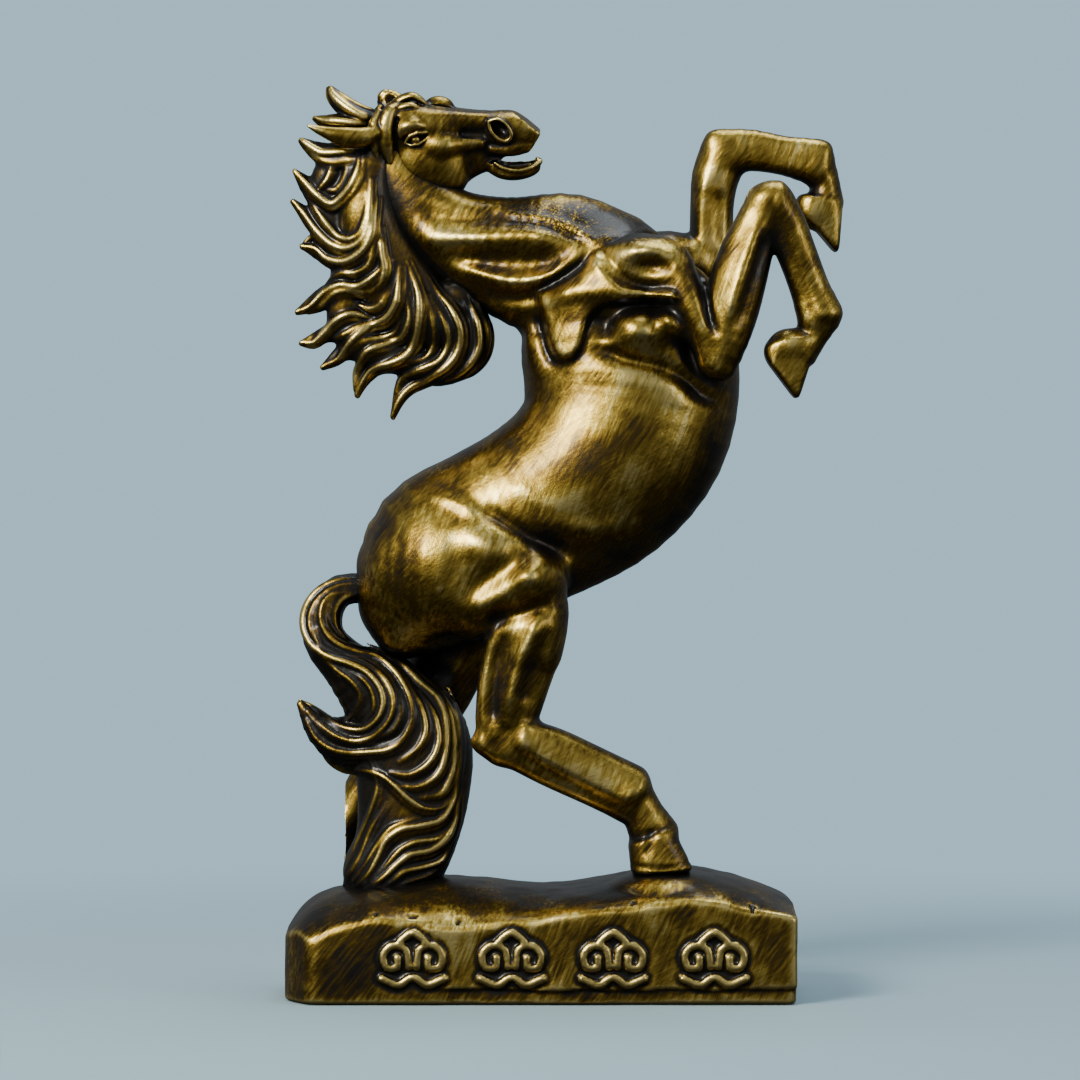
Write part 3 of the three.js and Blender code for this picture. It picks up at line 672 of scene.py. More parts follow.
def near_relief(clay):
    r = Relief(clay)
    # Neck: the long muscle, the hollow under it and the thin one that closes round the hollow.
    r.stroke(NECK_MUSCLE, 3.6, 4.2)
    r.stroke(NECK_HOLLOW, -4.2, 4.2)
    r.stroke([(-40, 318), (-28, 313.5), (-19.5, 310.5), (-11, 308.8), (-2, 309.6), (7, 313), (14, 318),
              (17, 322)], 2.8, 2.6)
    r.stroke([(-28, 304.5), (-16, 302.5), (-6, 302.5), (2, 305), (11, 310.5), (19, 316.5), (24.5, 322.5)],
             -3.2, 2.6)
    r.stroke([(-54, 342), (-40, 337), (-26, 336), (-14, 338)], -2.4, 3.0)
    # The breast: a broad facet above the neck muscle, edged by a fine ridge.
    r.stroke([(-20, 343), (-13, 339.5), (0, 337), (11, 333.4), (21, 328), (26, 324)], 1.3, 1.7)
    r.stroke([(-18, 334), (-4, 334), (8, 330.5), (20, 325)], -1.6, 1.8)
    r.stroke([(25, 323.5), (33, 326.5), (42, 328.6), (52, 329), (61, 326.5), (68, 321)], -1.5, 1.5)
    r.stroke([(24, 326), (34, 329), (44, 331), (54, 331)], 0.9, 1.5)
    # Shoulder blade: a raised plate with a pointed lobe hanging from it, and the hollow beside the lobe.
    r.plate(
        [
            (-1, 304), (9, 308.5), (18, 314.5), (24.5, 321), (30, 315), (36, 308.5), (44, 304.5), (57, 303),
            (58.5, 300.5), (45, 299.6), (33, 299.2), (26, 297.6), (21.5, 293), (19, 286), (16.8, 279.6),
            (13, 275.2), (8, 275.2), (4.4, 280), (2.6, 288), (1, 296),
        ],
        4.2,
        2.0,
    )
    r.stroke([(24.5, 321), (28, 315), (32, 310), (37, 306), (43, 304.5)], -3.2, 1.6)
    r.stroke([(4, 301), (14, 304), (28, 303.5), (44, 302)], 1.6, 3.0)
    r.boss((27.5, 289.5), (6, 8), -3.4, 30)
    # Point of the shoulder, with its pit.
    r.boss((43, 320.5), (17, 8.6), 4.4, -6)
    r.boss((47.5, 315), (8.2, 4.6), -4.4, -8)
    r.stroke([(30, 312), (38, 308), (48, 306.5), (58, 308)], -1.2, 1.8)
    # The breast muscle under the blade, and the hollow round it.
    r.boss((41, 287.5), (12, 9.8), 6.2, 0)
    r.boss((53.5, 289.5), (9, 9), 4.6, 0)
    r.stroke([(48.5, 297), (48, 285)], -1.3, 2.0)
    r.stroke([(26, 283), (30, 291.5), (36, 297), (45, 298.8), (55, 297), (61.5, 289), (65, 276), (68, 266)],
             -3.0, 2.4)
    r.stroke([(21, 279), (28, 278), (36, 275.4), (43, 273.6), (51, 271.6), (58, 269), (64, 264.6),
              (70, 259.6),
              (78, 256)], -3.6, 2.6)
    r.stroke([(10, 270), (22, 270.5), (34, 268), (46, 265), (58, 260), (68, 253)], 0.9, 4.0)
    r.stroke(BLADE_BACK, -2.6, 1.8)
    r.stroke([(-8, 292), (-5, 284), (-2.5, 275), (0, 266)], 1.9, 3.0)
    # Upper arm and the crease between it and the forearm.
    r.stroke([(55, 322), (60, 313), (64, 303), (70, 291), (75, 280)], 1.5, 3.4)
    r.stroke([(66, 321), (69, 311), (70.5, 301), (72.5, 291), (76, 284)], -3.2, 1.8)
    r.stroke([(69, 322), (71.5, 311), (73, 301), (75, 293)], 0.8, 1.0)
    # Forearm: two long muscles with a valley between.
    r.stroke([(79, 290), (84.5, 306), (90, 322), (95, 336)], 2.6, 3.0)
    r.stroke([(83.5, 287), (88.5, 303), (93, 318), (97, 331)], -2.2, 2.4)
    r.plate([(103, 352), (113, 345), (128, 306), (130, 294), (119.5, 293), (113.5, 306), (107.5, 322),
             (101, 340)], 1.4, 2.6)
    r.stroke([(76, 322), (84, 332), (90, 342)], 0.9, 2.5)
    # Loin and flank.
    r.stroke([(-30, 212), (-19, 206.5), (-9, 200.5), (3, 195.5), (15, 191)], -3.6, 3.0)
    r.stroke([(-48, 217.5), (-37, 214.5), (-26, 208.5), (-17, 202.5), (-8, 197), (0, 193.5)], 1.9, 2.6)
    r.stroke(FLANK_SWELL, 1.6, 3.2)
    r.stroke([(-2, 199), (14, 194), (30, 192), (44, 196)], -2.0, 4.0)
    r.stroke([(-14, 222), (0, 214), (12, 211)], 0.9, 3.2)
    # Haunch: two broad muscles, the diagonal groove, the band to the stifle and its knob.
    r.boss((-50, 190), (18, 26), 3.0, 10)
    r.boss((-23, 196), (18, 11), 4.4, -22)
    r.stroke([(-38, 212), (-36, 200), (-34, 188), (-34, 176)], -1.1, 5.0)
    r.stroke([(0, 193), (-8, 189), (-16, 184.5), (-24, 178.5), (-33, 171)], -3.6, 4.4)
    r.stroke([(0, 184), (-9, 179.5), (-18, 174), (-30, 168)], 3.2, 5.6)
    r.boss((-2, 183), (10.5, 10.5), 4.8, 0)
    r.stroke([(-24, 163.5), (-13, 165.5), (-4, 168), (5, 171)], -4.4, 3.2)
    r.stroke([(-50, 165), (-38, 158), (-28, 153)], -2.0, 5.0)
    # Gaskin: shin ridge, tendon at the back, valleys either side.
    r.stroke([(1, 166), (-3.5, 156), (-8, 146), (-11.5, 134), (-14, 122)], 4.0, 2.8)
    r.stroke([(-14, 160), (-17.5, 146), (-19.4, 132), (-19.8, 117)], -3.4, 2.4)
    r.stroke([(-21.5, 156), (-25, 138), (-26, 120), (-25.5, 107)], 2.0, 2.6)
    r.stroke([(-1, 150), (-4, 139), (-7.5, 127)], -2.0, 3.0)
    r.stroke([(6, 165), (5, 154), (1.5, 142)], 1.6, 3.0)
    # Hock and cannon: a flat upper face with a sharp lower edge.
    r.plate([(-7, 119), (4, 119), (18, 116), (34, 108), (46, 101), (46, 92), (38, 85.2), (27, 88.8),
             (13, 95.8),
             (-1, 103.5), (-9, 110)], 2.4, 2.8)
    r.stroke([(-13, 119), (-17, 112), (-22, 107)], -1.4, 2.6)
    r.press(-1)


def far_relief(clay):
    r = Relief(clay)
    r.stroke(NECK_MUSCLE, 3.4, 4.2)
    r.stroke(NECK_HOLLOW, -4.0, 4.2)
    r.stroke([(-40, 318), (-28, 313.5), (-11, 308.8), (7, 313), (17, 322)], 2.6, 2.6)
    r.stroke([(-28, 304.5), (-6, 302.5), (11, 310.5), (24.5, 322.5)], -3.0, 2.6)
    r.plate(
        [
            (0, 301), (9, 307.5), (18, 314), (26, 322), (34, 316), (40, 309), (48, 306), (58, 303), (48,
                                                                                                     298),
            (32, 294), (22, 287.5), (17, 279), (11, 273), (6.5, 275.5), (4.5, 283), (3, 292),
        ],
        4.6,
        2.2,
    )
    r.stroke([(26, 323), (32, 315), (40, 308), (50, 305)], -2.6, 1.6)
    r.boss((52, 320), (17, 10), 4.4, 0)
    r.boss((50, 314), (8, 3), -4.6, 0)
    r.boss((46, 284), (16, 12), 8.0, 0)
    r.stroke([(21, 281), (24, 289), (31, 295.5), (46, 298.5), (60, 298), (70, 300), (80, 306)], -4.6, 3.2)
    r.stroke([(24, 272.5), (34, 270), (45, 270.5), (56, 267), (66, 266), (76, 272)], -4.0, 3.4)
    r.stroke([(8, 268), (20, 268), (32, 266), (44, 265), (56, 261), (66, 258)], 2.0, 4.0)
    r.stroke(BLADE_BACK, -2.6, 1.8)
    r.stroke([(70, 322), (70, 334), (71, 348), (73, 360)], 1.6, 2.6)
    r.stroke([(78, 326), (78, 340), (79, 352)], -1.6, 2.4)
    r.stroke([(-30, 212), (-19, 206.5), (-9, 200.5), (0, 196)], -3.4, 3.0)
    r.stroke([(-48, 217.5), (-37, 214.5), (-26, 208.5), (-17, 202.5), (-8, 197)], 1.9, 2.6)
    r.stroke(FLANK_SWELL, 1.6, 3.2)
    r.boss((-52, 190), (18, 26), 2.0, 10)
    r.boss((-28, 192), (16, 12), 2.8, -30)
    r.stroke([(-16, 188), (-22, 178), (-30, 168), (-38, 160)], -4.0, 2.4)
    r.boss((-14, 176), (9, 10), 3.4, 0)
    r.stroke([(-30, 150), (-40, 132), (-54, 112), (-70, 92)], 2.4, 2.6)
    r.stroke([(-44, 150), (-54, 132), (-66, 112), (-78, 92)], -2.4, 2.2)
    r.press(1)


def body_clay():
    clay = Clay((-86, -48, 38), (140, 44, 384), 1.0)
    clay.limb(TRUNK, 0, 6)
    clay.limb(NECK, 6, 5)
    clay.limb(HAUNCH, 5, 6)
    clay.limb(mirrored(HAUNCH), 5, 6)
    clay.limb(NEAR_THIGH, 4)
    clay.limb(FAR_THIGH, 4)
    clay.limb(NEAR_HIND_LEG, 4)
    clay.limb(FAR_HIND_LEG, 4)
    clay.limb(NEAR_CANNON, 3, square=2.6)
    clay.limb(NEAR_PASTERN, 3)
    clay.limb(FAR_CANNON, 3)
    clay.egg((-22, -22.5, 109), (8, 7.5, 5), 3, -20)
    clay.egg((35, -22, 84), (7, 8, 5.5), 3, -35)
    clay.limb(NEAR_SHOULDER, 3)
    clay.limb(FAR_SHOULDER, 3)
    clay.limb(NEAR_FOREARM, 1.5)
    clay.limb(NEAR_FORE_CANNON, 2.5, square=2.6)
    clay.limb(NEAR_FORE_PASTERN, 2)
    clay.limb(FAR_FOREARM, 2)
    clay.limb(FAR_FORE_CANNON, 2.5, square=3.2)
    clay.limb(FAR_FORE_PASTERN, 2)
    near_relief(clay)
    far_relief(clay)
    hoof(clay, (38, 68), (57, 74), (39, 53.6), (66.4, 55.6), -22, 10.4, 12.6, 3.0)
    hoof(clay, (-93, 53), (-76, 56), (-95, 43), (-71, 46), 26, 9, 10.5)
    hoof(clay, (96, 281.5), (120, 286), (95.5, 276.5), (110.5, 256.5), -27, 9, 8)
    hoof(clay, (113.5, 350), (133.5, 347), (113, 344.5), (131.5, 322.5), 22, 9, 8)
    clay.egg((107.5, -27, 281), (9.8, 9, 7.5), 3)
    clay.egg((121, 22, 342.5), (9, 8.6, 8), 3)
    foot = Relief(clay)
    foot.stroke([(38, 68.5), (45, 70.5), (52, 74), (59, 76)], -1.0, 1.3)
    foot.stroke([(46.5, 75), (47.5, 69), (44.5, 62)], -1.0, 1.4)
    foot.stroke([(38, 58.6), (46, 57.4), (56, 57.6), (67, 60)], -0.9, 0.8)
    foot.press(-1)
    return clay


# ---------------------------------------------------------------- the head

HEAD_ROLL = 16.0  # the crown leans towards the near side
HEAD_PIVOT = (-40, 0, 370)


def facing(stations):
    """Stations given as they look from the near side, in the head's own upright frame."""
    c, s = math.cos(math.radians(HEAD_ROLL)), math.sin(math.radians(HEAD_ROLL))
    out = []
    for x, depth, z, *rest in stations:
        out.append((x, depth, HEAD_PIVOT[2] + (z - HEAD_PIVOT[2] - s * depth) / c, *rest))
    return out


def head_clay():
    clay = Clay((-106, -22, 340), (6, 20, 402), 0.45, HEAD_ROLL, HEAD_PIVOT)

    def pair(stations, blend, square=2.0, cut=False, spacing=2.5):
        stations = facing(stations)
        clay.limb(stations, blend, spacing, square, cut=cut)
        clay.limb(mirrored(stations), blend, spacing, square, cut=cut)

    def eggs(centre, radii, blend, tilt=0.0, turn=0.0, cut=False):
        x, y, z = facing([centre])[0]
        clay.egg((x, y, z), radii, blend, tilt, turn, cut)
        clay.egg((x, -y, z), radii, blend, tilt, -turn, cut)

    # Skull, cheeks, bridge of the nose and muzzle.
    clay.limb(
        [(-66, 0, 376, 8, 8), (-58, 0, 378, 10.5, 11), (-49, 0, 377.5, 10, 11.5), (-38, 0, 377, 8.8, 8.6),
         (-26, 0, 377, 7.6, 6.8), (-14, 0, 377.2, 7.8, 7.8), (-8, 0, 376.4, 7.6, 7.6), (-3.5, 0, 375, 6.2,
                                                                                        6.2)],
        0, 3.0, 2.5,
    )
    clay.limb([(-21, 0, 369, 3.2, 6.6), (-12, 0, 368.6, 3.8, 7), (-5.5, 0, 370, 3.6, 6)], 2.0, 2.5)
    clay.limb(facing([(-8.8, 0, 396.9, 12, 30), (1, 0, 389.5, 12, 30), (10.9, 0, 382, 12, 30)]), 0.9, 4.0,
              cut=True)
    clay.limb(facing([(12.4, 0, 372.2, 12, 30), (8, 0, 365.2, 12, 30), (4.2, 0, 358.8, 12, 30)]), 0.9, 4.0,
              cut=True)
    clay.limb([(-62, 0, 366, 11, 8.5), (-50, 0, 366, 12, 9), (-38, 0, 367, 8, 7.5),
               (-27, 0, 366.5, 5.5, 6)], 4, 3.0)
    eggs((-47.5, -6.2, 360), (15, 7.2, 14.8), 3.5)
    eggs((-41.5, -5.0, 354.6), (9.4, 6.0, 8.6), 4)
    clay.limb([(-42, 0, 353.5, 6.5, 6), (-33, 0, 358.5, 5, 5), (-24, 0, 361.5, 3.6, 4.6),
               (-18, 0, 361.5, 3.2, 5)], 4, 3.0)
    # Ridges of the nose bone, the crest of the cheek and the hollow between them.
    pair([(-52, -6.5, 380.8, 1.8, 1.8), (-38, -5.6, 380.7, 1.8, 1.6), (-24, -4.4, 380.2, 1.5, 1.4)], 3.5)
    pair([(-33, -7.6, 373.2, 2.2, 1.6), (-25, -7.2, 373, 2.4, 1.4)], 3, cut=True)
    eggs((-43.4, -9.2, 368.4), (6.6, 4.4, 4.6), 3.0, -4)
    pair([(-40, -8.6, 369, 2.4, 2.4), (-33, -7, 369.5, 2.2, 2.0), (-26, -6, 370, 1.6, 1.6)], 4.0)
    # Brow and eye.
    eggs((-57, -9.8, 376.6), (6.0, 3.8, 4.2), 2.2, 14)
    pair([(-61.5, -10.6, 372.6, 1.5, 1.5), (-58, -12, 376, 1.9, 1.8), (-53.5, -11.6, 377.2, 1.7, 1.7),
          (-49.5, -9.6, 376, 1.2, 1.4)], 1.6)
    eggs((-53, -12.6, 371.4), (4.6, 3.4, 2.5), 1.0, 16, cut=True)
    eggs((-54, -10.5, 371.0), (2.4, 2.3, 2.3), 0.5)
    pair([(-58.6, -11.6, 369.4, 0.5, 0.8), (-56.4, -12.4, 372.2, 0.8, 1.0), (-53, -12.4, 373.7, 0.9, 1.1),
          (-50, -11.4, 374.0, 0.8, 1.0), (-47.4, -10, 373.6, 0.4, 0.8)], 0.7)
    pair([(-58, -11.8, 369.2, 0.4, 0.7), (-55.6, -12.4, 368.4, 0.6, 0.8), (-52.6, -12.3, 368.8, 0.7, 0.8),
          (-50, -11.4, 370.6, 0.6, 0.8), (-47.6, -10, 373.2, 0.4, 0.7)], 0.7)
    clay.egg(facing([(-44, 7, 386.6)])[0], (6.6, 4.4, 4.8), 2.0, -4)
    clay.limb(facing([(-50, 2.2, 385.4, 0.8, 1.0), (-44, 1.8, 385.6, 1.1, 1.4),
                      (-38.5, 2, 384.6, 0.8, 1.0)]), 1.6, 2.0,
              cut=True)
    # Nostrils: a flared rim round a deep hole.
    eggs((-16.6, -5.6, 375.2), (6.2, 3.2, 5.0), 2.5, -42)
    ring = [(-22.2, -7.6, 378.9), (-18.8, -8.4, 379.8), (-14.2, -8.8, 376.8), (-12.4, -8.8, 372.9),
            (-14.2, -8.6, 370.6), (-18.2, -8.4, 371.6), (-21.4, -8.0, 375.2), (-22.2, -7.6, 378.6)]
    pair([(x, y, z, 0.9, 1.0) for x, y, z in ring], 1.0, spacing=1.5)
    eggs((-17.2, -9.4, 375.3), (4.5, 4.6, 2.9), 0.6, -46, cut=True)
    # Upper lip, the gape of the mouth and the spoon of the lower lip.
    eggs((-10.5, -4.4, 368.6), (7.0, 3.2, 3.0), 2.0, 10)
    clay.limb(facing([(-22, 0, 363.4, 0.5, 9), (-16, 0, 362.6, 1.6, 11), (-10, 0, 362.4, 2.6, 12),
                      (-3, 0, 363.2, 3.4, 12), (6, 0, 364, 4.2, 12)]), 0.6, 2.0, cut=True)
    clay.egg((-10.4, 0, 358.9), (10.6, 6.4, 4.6), 1.5, 5)
    clay.limb([(-20, 0, 360, 3.2, 5.2), (-11, 0, 358.4, 3.4, 6), (-3.6, 0, 360.6, 2.4, 4.6),
               (0, 0, 362.6, 1.3, 2.8)],
              1.5, 2.0)
    clay.egg((-9.4, 0, 362.2), (8.8, 4.9, 5.4), 0.6, 7, cut=True)
    rim = [(-19.6, -5.2, 362.8, 0.6, 0.7), (-16, -5.9, 360.8, 0.8, 0.9), (-9.5, -6.3, 359.6, 0.9, 0.9),
           (-4, -4.9, 360.8, 0.9, 0.9), (0, -1.4, 362.8, 0.9, 1.0)]
    clay.limb(rim, 0.8, 1.5)
    clay.limb(mirrored(rim), 0.8, 1.5)
    clay.limb([(-15, 0, 359.4, 1.2, 3.0), (-8, 0, 359.6, 1.4, 3.2), (-4.2, 0, 361, 0.8, 2.0)], 1.0, 1.5)
    clay.egg((-1.2, 0, 363.2), (1.0, 2.4, 1.3), 0.5)
    # Rolls of skin behind the cheek, and the groove in front of them.
    pair([(-62.2, -9.6, 379.5, 1.0, 1.4), (-62.8, -11.2, 371, 1.1, 1.6), (-62.4, -10.6, 361, 1.0, 1.5)],
         1.5, cut=True)
    pair([(-61, -2.5, 386, 2.0, 2.2), (-64.4, -6.4, 383.4, 3.0, 2.8), (-66.6, -9.2, 377.5, 3.6, 3.0),
          (-66.8, -10.2, 370, 3.5, 3.0), (-65.2, -9.6, 362, 1.8, 2.2)], 1.2)
    pair([(-69.6, -5, 383, 1.8, 2.2), (-71.8, -9, 377, 2.7, 2.8), (-72, -10, 370, 2.7, 2.8),
          (-70.6, -9.6, 364, 1.4, 2)], 1.2)
    # The near ear lies back; the far one stands. Three tufts fall over the brow.
    near_ear = facing([(-71, -10.5, 374, 3.2, 3), (-77, -12.6, 371.6, 4.4, 3.4),
                       (-84, -13.8, 371.6, 4.4, 3.2),
                       (-91, -14.4, 373.2, 3.0, 2.6), (-96.5, -14.6, 375, 1.7, 1.8), (-100, -14.6, 376.4,
                                                                                      0.7, 0.9)])
    clay.limb(near_ear, 1.2, 2.5)
    clay.limb(facing([(-76, -17.4, 374.6, 1.1, 1.6), (-85, -18, 374.6, 1.2, 1.6),
                      (-92, -17.6, 375.2, 0.7, 1.2)]),
              1.2, 2.5, cut=True)
    clay.limb(facing([(-62, 6.5, 384, 6.6, 4.2), (-65, 8, 388, 6.4, 3.6), (-67.4, 8.6, 390.8, 4.6, 2.8),
                      (-68.6, 8.6, 392, 3.0, 2.0)]), 1.5, 2.0)
    clay.egg(facing([(-65.2, 4.4, 390)])[0], (2.6, 2.0, 4.2), 0.8, 38, cut=True)
    for tuft in (
        [(-66, -1, 384, 2.4, 3), (-60.5, -1, 388.5, 2.2, 3), (-55.5, -1.5, 390.2, 1.9, 2.6),
         (-51, -2, 388, 1.4, 2),
         (-48.5, -2, 385.6, 0.6, 1)],
        [(-65, -5, 383, 1.8, 2.4), (-60, -5.5, 385, 1.8, 2.2), (-55.5, -5.8, 385.8, 1.5, 2),
         (-51.5, -5.6, 384, 0.8, 1.2)],
        [(-64, 3, 384, 2, 2.4), (-58, 3.4, 389, 1.7, 2.2), (-52.5, 3.6, 389, 1.3, 1.8),
         (-49, 3.4, 387.4, 0.6, 1)],
    ):
        clay.limb(facing(tuft), 0.7, 1.5)
    return clay


# ---------------------------------------------------------------- hair


def outer_depth(clay, field, x, z, flank):
    """How far from the middle the clay reaches on one flank at points of the side view; 0 outside it."""
    i = np.clip(((x - clay.low[0]) / clay.pitch).round().astype(int), 0, field.shape[0] - 1)
    k = np.clip(((z - clay.low[2]) / clay.pitch).round().astype(int), 0, field.shape[2] - 1)
    y = (clay.low[1] + clay.pitch * np.arange(field.shape[1])) * flank
    inside = field[i, :, k] < 0
    return np.where(inside.any(axis=1), np.where(inside, y, -1e3).max(axis=1), 0.0).clip(0)


def lay_strand(clay, ground, points, radius, flank, sink=0.25, blend=1.2, under=None):
    """A strand of hair lying on the ground clay, thin at its root and pointed at its tip."""
    rows = flat_curve(points, 2.0)
    depth = outer_depth(clay, ground, rows[:, 0], rows[:, 1], flank)
    if under is not None:
        depth = np.maximum(depth, outer_depth(under, under.field, rows[:, 0], rows[:, 1], flank))
    padded = np.concatenate([[depth[0]] * 3, depth, [depth[-1]] * 3])
    depth = np.convolve(padded, np.array([1, 2, 3, 4, 3, 2, 1]) / 16.0, "valid")
    t = np.linspace(0, 1, len(rows))
    girth = radius * np.minimum(0.12 + 3.4 * t, 1.0) * np.sqrt(np.clip((1 - t) * 3.2, 0.02, 1.0))
    y = flank * np.clip(depth - sink * girth, 0, None)
    clay.limb(np.column_stack([rows[:, 0], y, rows[:, 1], girth, girth * 1.35]), blend, spacing=4.0)


def beside(points, offset):
    """The same line moved sideways, less at its ends."""
    line = np.array(points, float)
    run = np.gradient(line, axis=0)
    side = np.column_stack([-run[:, 1], run[:, 0]]) / np.linalg.norm(run, axis=1)[:, None]
    fade = np.sin(np.linspace(0.15, 1, len(line)) * math.pi)[:, None]
    return line + side * offset * (0.35 + 0.65 * fade)


MANE_CREST = [
    (-67, 0, 374, 8, 8),
    (-75, 0, 355, 12.5, 11.5),
    (-73, 0, 332, 15.5, 13),
    (-62, 0, 309, 18, 13),
    (-49, 0, 294, 16, 12.5),
    (-37, 0, 291, 12.5, 11.5),
]
# Locks from root to tip, and the breadth of each.
MANE_LOCKS = [
    ([(-68, 379), (-80, 384), (-87, 388.5), (-91.5, 394.5)], 3.4),
    ([(-70, 376), (-83, 379), (-92, 380), (-98, 381.8)], 3.0),
    ([(-70, 364), (-84, 364), (-95, 366), (-104, 372)], 5.0),
    ([(-70, 352), (-81, 349), (-91, 345), (-99, 350), (-107, 358.5)], 4.8),
    ([(-67, 342), (-76, 335), (-86, 328), (-97, 335), (-107.5, 345.3)], 4.8),
    ([(-65, 333), (-74, 326), (-85, 321), (-94, 323), (-104, 325.8)], 4.8),
    ([(-62, 322), (-70, 313), (-81, 309), (-93, 304), (-106, 297)], 4.8),
    ([(-58, 312), (-63, 301), (-74, 294), (-88, 289), (-104, 283.5)], 4.8),
    ([(-54, 306), (-60, 294), (-70, 287), (-83, 281), (-95, 272.8)], 4.6),
    ([(-48, 302), (-52, 288), (-60, 279), (-73, 273), (-80, 261)], 4.8),
    ([(-39, 300), (-41, 286), (-45, 276), (-57, 268), (-64.3, 251.5)], 4.8),
    ([(-29, 298), (-27, 287), (-30, 277), (-40, 270), (-52, 266)], 4.6),
]
# The web of hair between the locks.
MANE_GROUND = [
    (-80, 0, 373, 6, 5.5),
    (-88, 0, 360, 9, 6.5),
    (-91.5, 0, 350, 9.5, 6),
    (-90, 0, 335, 9, 6),
    (-84, 0, 319, 7.5, 7),
    (-84.5, 0, 304, 8, 7),
    (-84, 0, 294, 9, 6.5),
    (-78, 0, 284, 9, 7.5),
    (-68, 0, 278, 7.5, 8),
    (-57, 0, 276, 7, 8.5),
    (-45, 0, 274, 9, 9),
    (-33, 0, 280, 9.5, 9),
    (-31, 0, 292, 9, 9),
]
MANE_STRANDS = [
    ([(-68, 382), (-74, 380.5), (-80, 383), (-86.4, 387.5), (-90.5, 392), (-91.8, 395)], 2.3),
    ([(-66, 383.5), (-70, 383.3), (-76, 384.8), (-83, 388.5), (-88.5, 393), (-90.5, 395)], 1.5),
    ([(-72, 378), (-80, 378.5), (-88, 379.5), (-94, 380), (-98.6, 381.8)], 2.0),
    ([(-74, 379.5), (-82, 381.5), (-89, 381.8), (-95, 381.6)], 1.2),
    ([(-76, 367), (-86, 366), (-95, 366), (-100, 369), (-104.4, 372.2)], 2.2),
    ([(-75, 364), (-84, 362), (-92, 361.5), (-98.5, 366), (-103, 371)], 1.4),
    ([(-78, 368), (-79, 358), (-82.7, 350), (-90.5, 343.5), (-96.3, 347), (-102, 353), (-106.6, 358.4)],
     1.9),
    ([(-83, 363), (-85, 354), (-88.5, 350), (-92.5, 350)], 1.4),
    ([(-90, 361), (-92.5, 354), (-96.5, 350)], 1.4),
    ([(-75, 348), (-75.5, 337), (-78, 330.5), (-82, 328), (-87, 329), (-92, 334), (-97, 341), (-102, 348)],
     1.6),
    ([(-73, 354), (-73.7, 340), (-74.5, 333), (-78, 326.5), (-84, 324), (-90.5, 326), (-97, 332),
      (-103, 340),
      (-107.8, 345.6)], 2.0),
    ([(-70.5, 346), (-72, 336), (-73.2, 329), (-77, 322.5), (-84.7, 318.4), (-92.4, 320), (-98, 324.6),
      (-103.8, 325.6)], 2.2),
    ([(-80, 321), (-88, 322.5), (-94, 327.5), (-98.5, 330), (-102.8, 327.5)], 1.5),
    ([(-69, 333), (-68.4, 322), (-67.2, 314.5), (-69, 308.5), (-74, 305)], 1.7),
    ([(-71, 331), (-72.5, 321), (-75, 316), (-80, 313.5), (-88, 313), (-94, 308)], 1.5),
    ([(-65, 320), (-72, 311.8), (-79, 307.6), (-86.6, 308.3), (-93.4, 305.4), (-101, 298.8),
      (-106.2, 296.8)], 1.9),
    ([(-70, 307), (-76, 305), (-82, 306), (-88.5, 305), (-94.5, 300), (-101, 297)], 1.7),
    ([(-66, 305), (-69.5, 299.5), (-74, 298), (-80, 300.5)], 1.4),
    ([(-60.5, 316), (-61.4, 307), (-62.4, 299.6), (-66.3, 293.8), (-75, 290), (-81.8, 284), (-87.6, 276.6),
      (-95, 272.8)], 2.1),
    ([(-70, 293), (-76, 294.5), (-81.8, 295.7), (-87.6, 293.6), (-93.4, 288), (-99, 283.4),
      (-104.5, 283.7)], 2.0),
    ([(-72, 291.5), (-79, 290), (-85, 286.8), (-90, 285.5)], 1.5),
    ([(-57.5, 318), (-54.5, 310), (-52.5, 303), (-52.2, 294.7), (-54, 284), (-58, 277.5), (-64.3, 274.4),
      (-72, 272.3), (-77, 266.8), (-80, 260)], 2.1),
    ([(-58, 305), (-56.6, 293), (-59.5, 286.3), (-67.2, 282.3), (-75, 279.5), (-79.5, 272), (-80.8, 263)],
     1.9),
    ([(-60, 296), (-62, 288.5), (-68, 285.5), (-76, 284), (-84, 278)], 1.4),
    ([(-48.5, 312), (-44, 304.6), (-38.5, 297.5), (-34.6, 288.5), (-35.3, 280), (-40, 273), (-49, 267.5),
      (-56.6, 263.7), (-61.5, 258), (-64.6, 250.5)], 2.0),
    ([(-46, 301), (-41.5, 292), (-39.6, 283.5), (-43.3, 275.6), (-52.5, 271.3), (-60, 268.2), (-63, 262)],
     1.8),
    ([(-49, 304), (-46.5, 292), (-46, 283), (-49, 277), (-56, 275)], 1.5),
    ([(-33, 306), (-28.5, 296), (-26.4, 288.5), (-26.6, 281), (-30, 274.5), (-36, 269), (-44, 266)], 1.8),
    ([(-28, 303), (-24, 293), (-22.8, 285), (-24.5, 277.5), (-30, 271), (-38, 267)], 1.5),
]
TAIL = [
    (-64, 0, 175, 7, 7),
    (-76, 0, 176.5, 6.5, 7.5),
    (-87, 0, 175.5, 7, 8),
    (-93.5, -1, 168, 8.2, 10),
    (-94, -2, 155, 9.2, 10.5),
    (-83, -3, 142, 11.5, 12.5),
    (-67, -4, 128, 19.5, 15),
    (-56, -4, 110, 25.5, 16),
    (-55, -4, 89, 24.5, 16),
    (-58, -4, 69, 22, 15.5),
    (-65, -4, 50, 20, 15.5),
]
TAIL_CURL = [
    (-66, -5, 113, 12.5, 10),
    (-83, -6, 110, 11.5, 8),
    (-95, -6, 115, 7, 6),
    (-104, -6, 126.5, 1.8, 2.2),
]
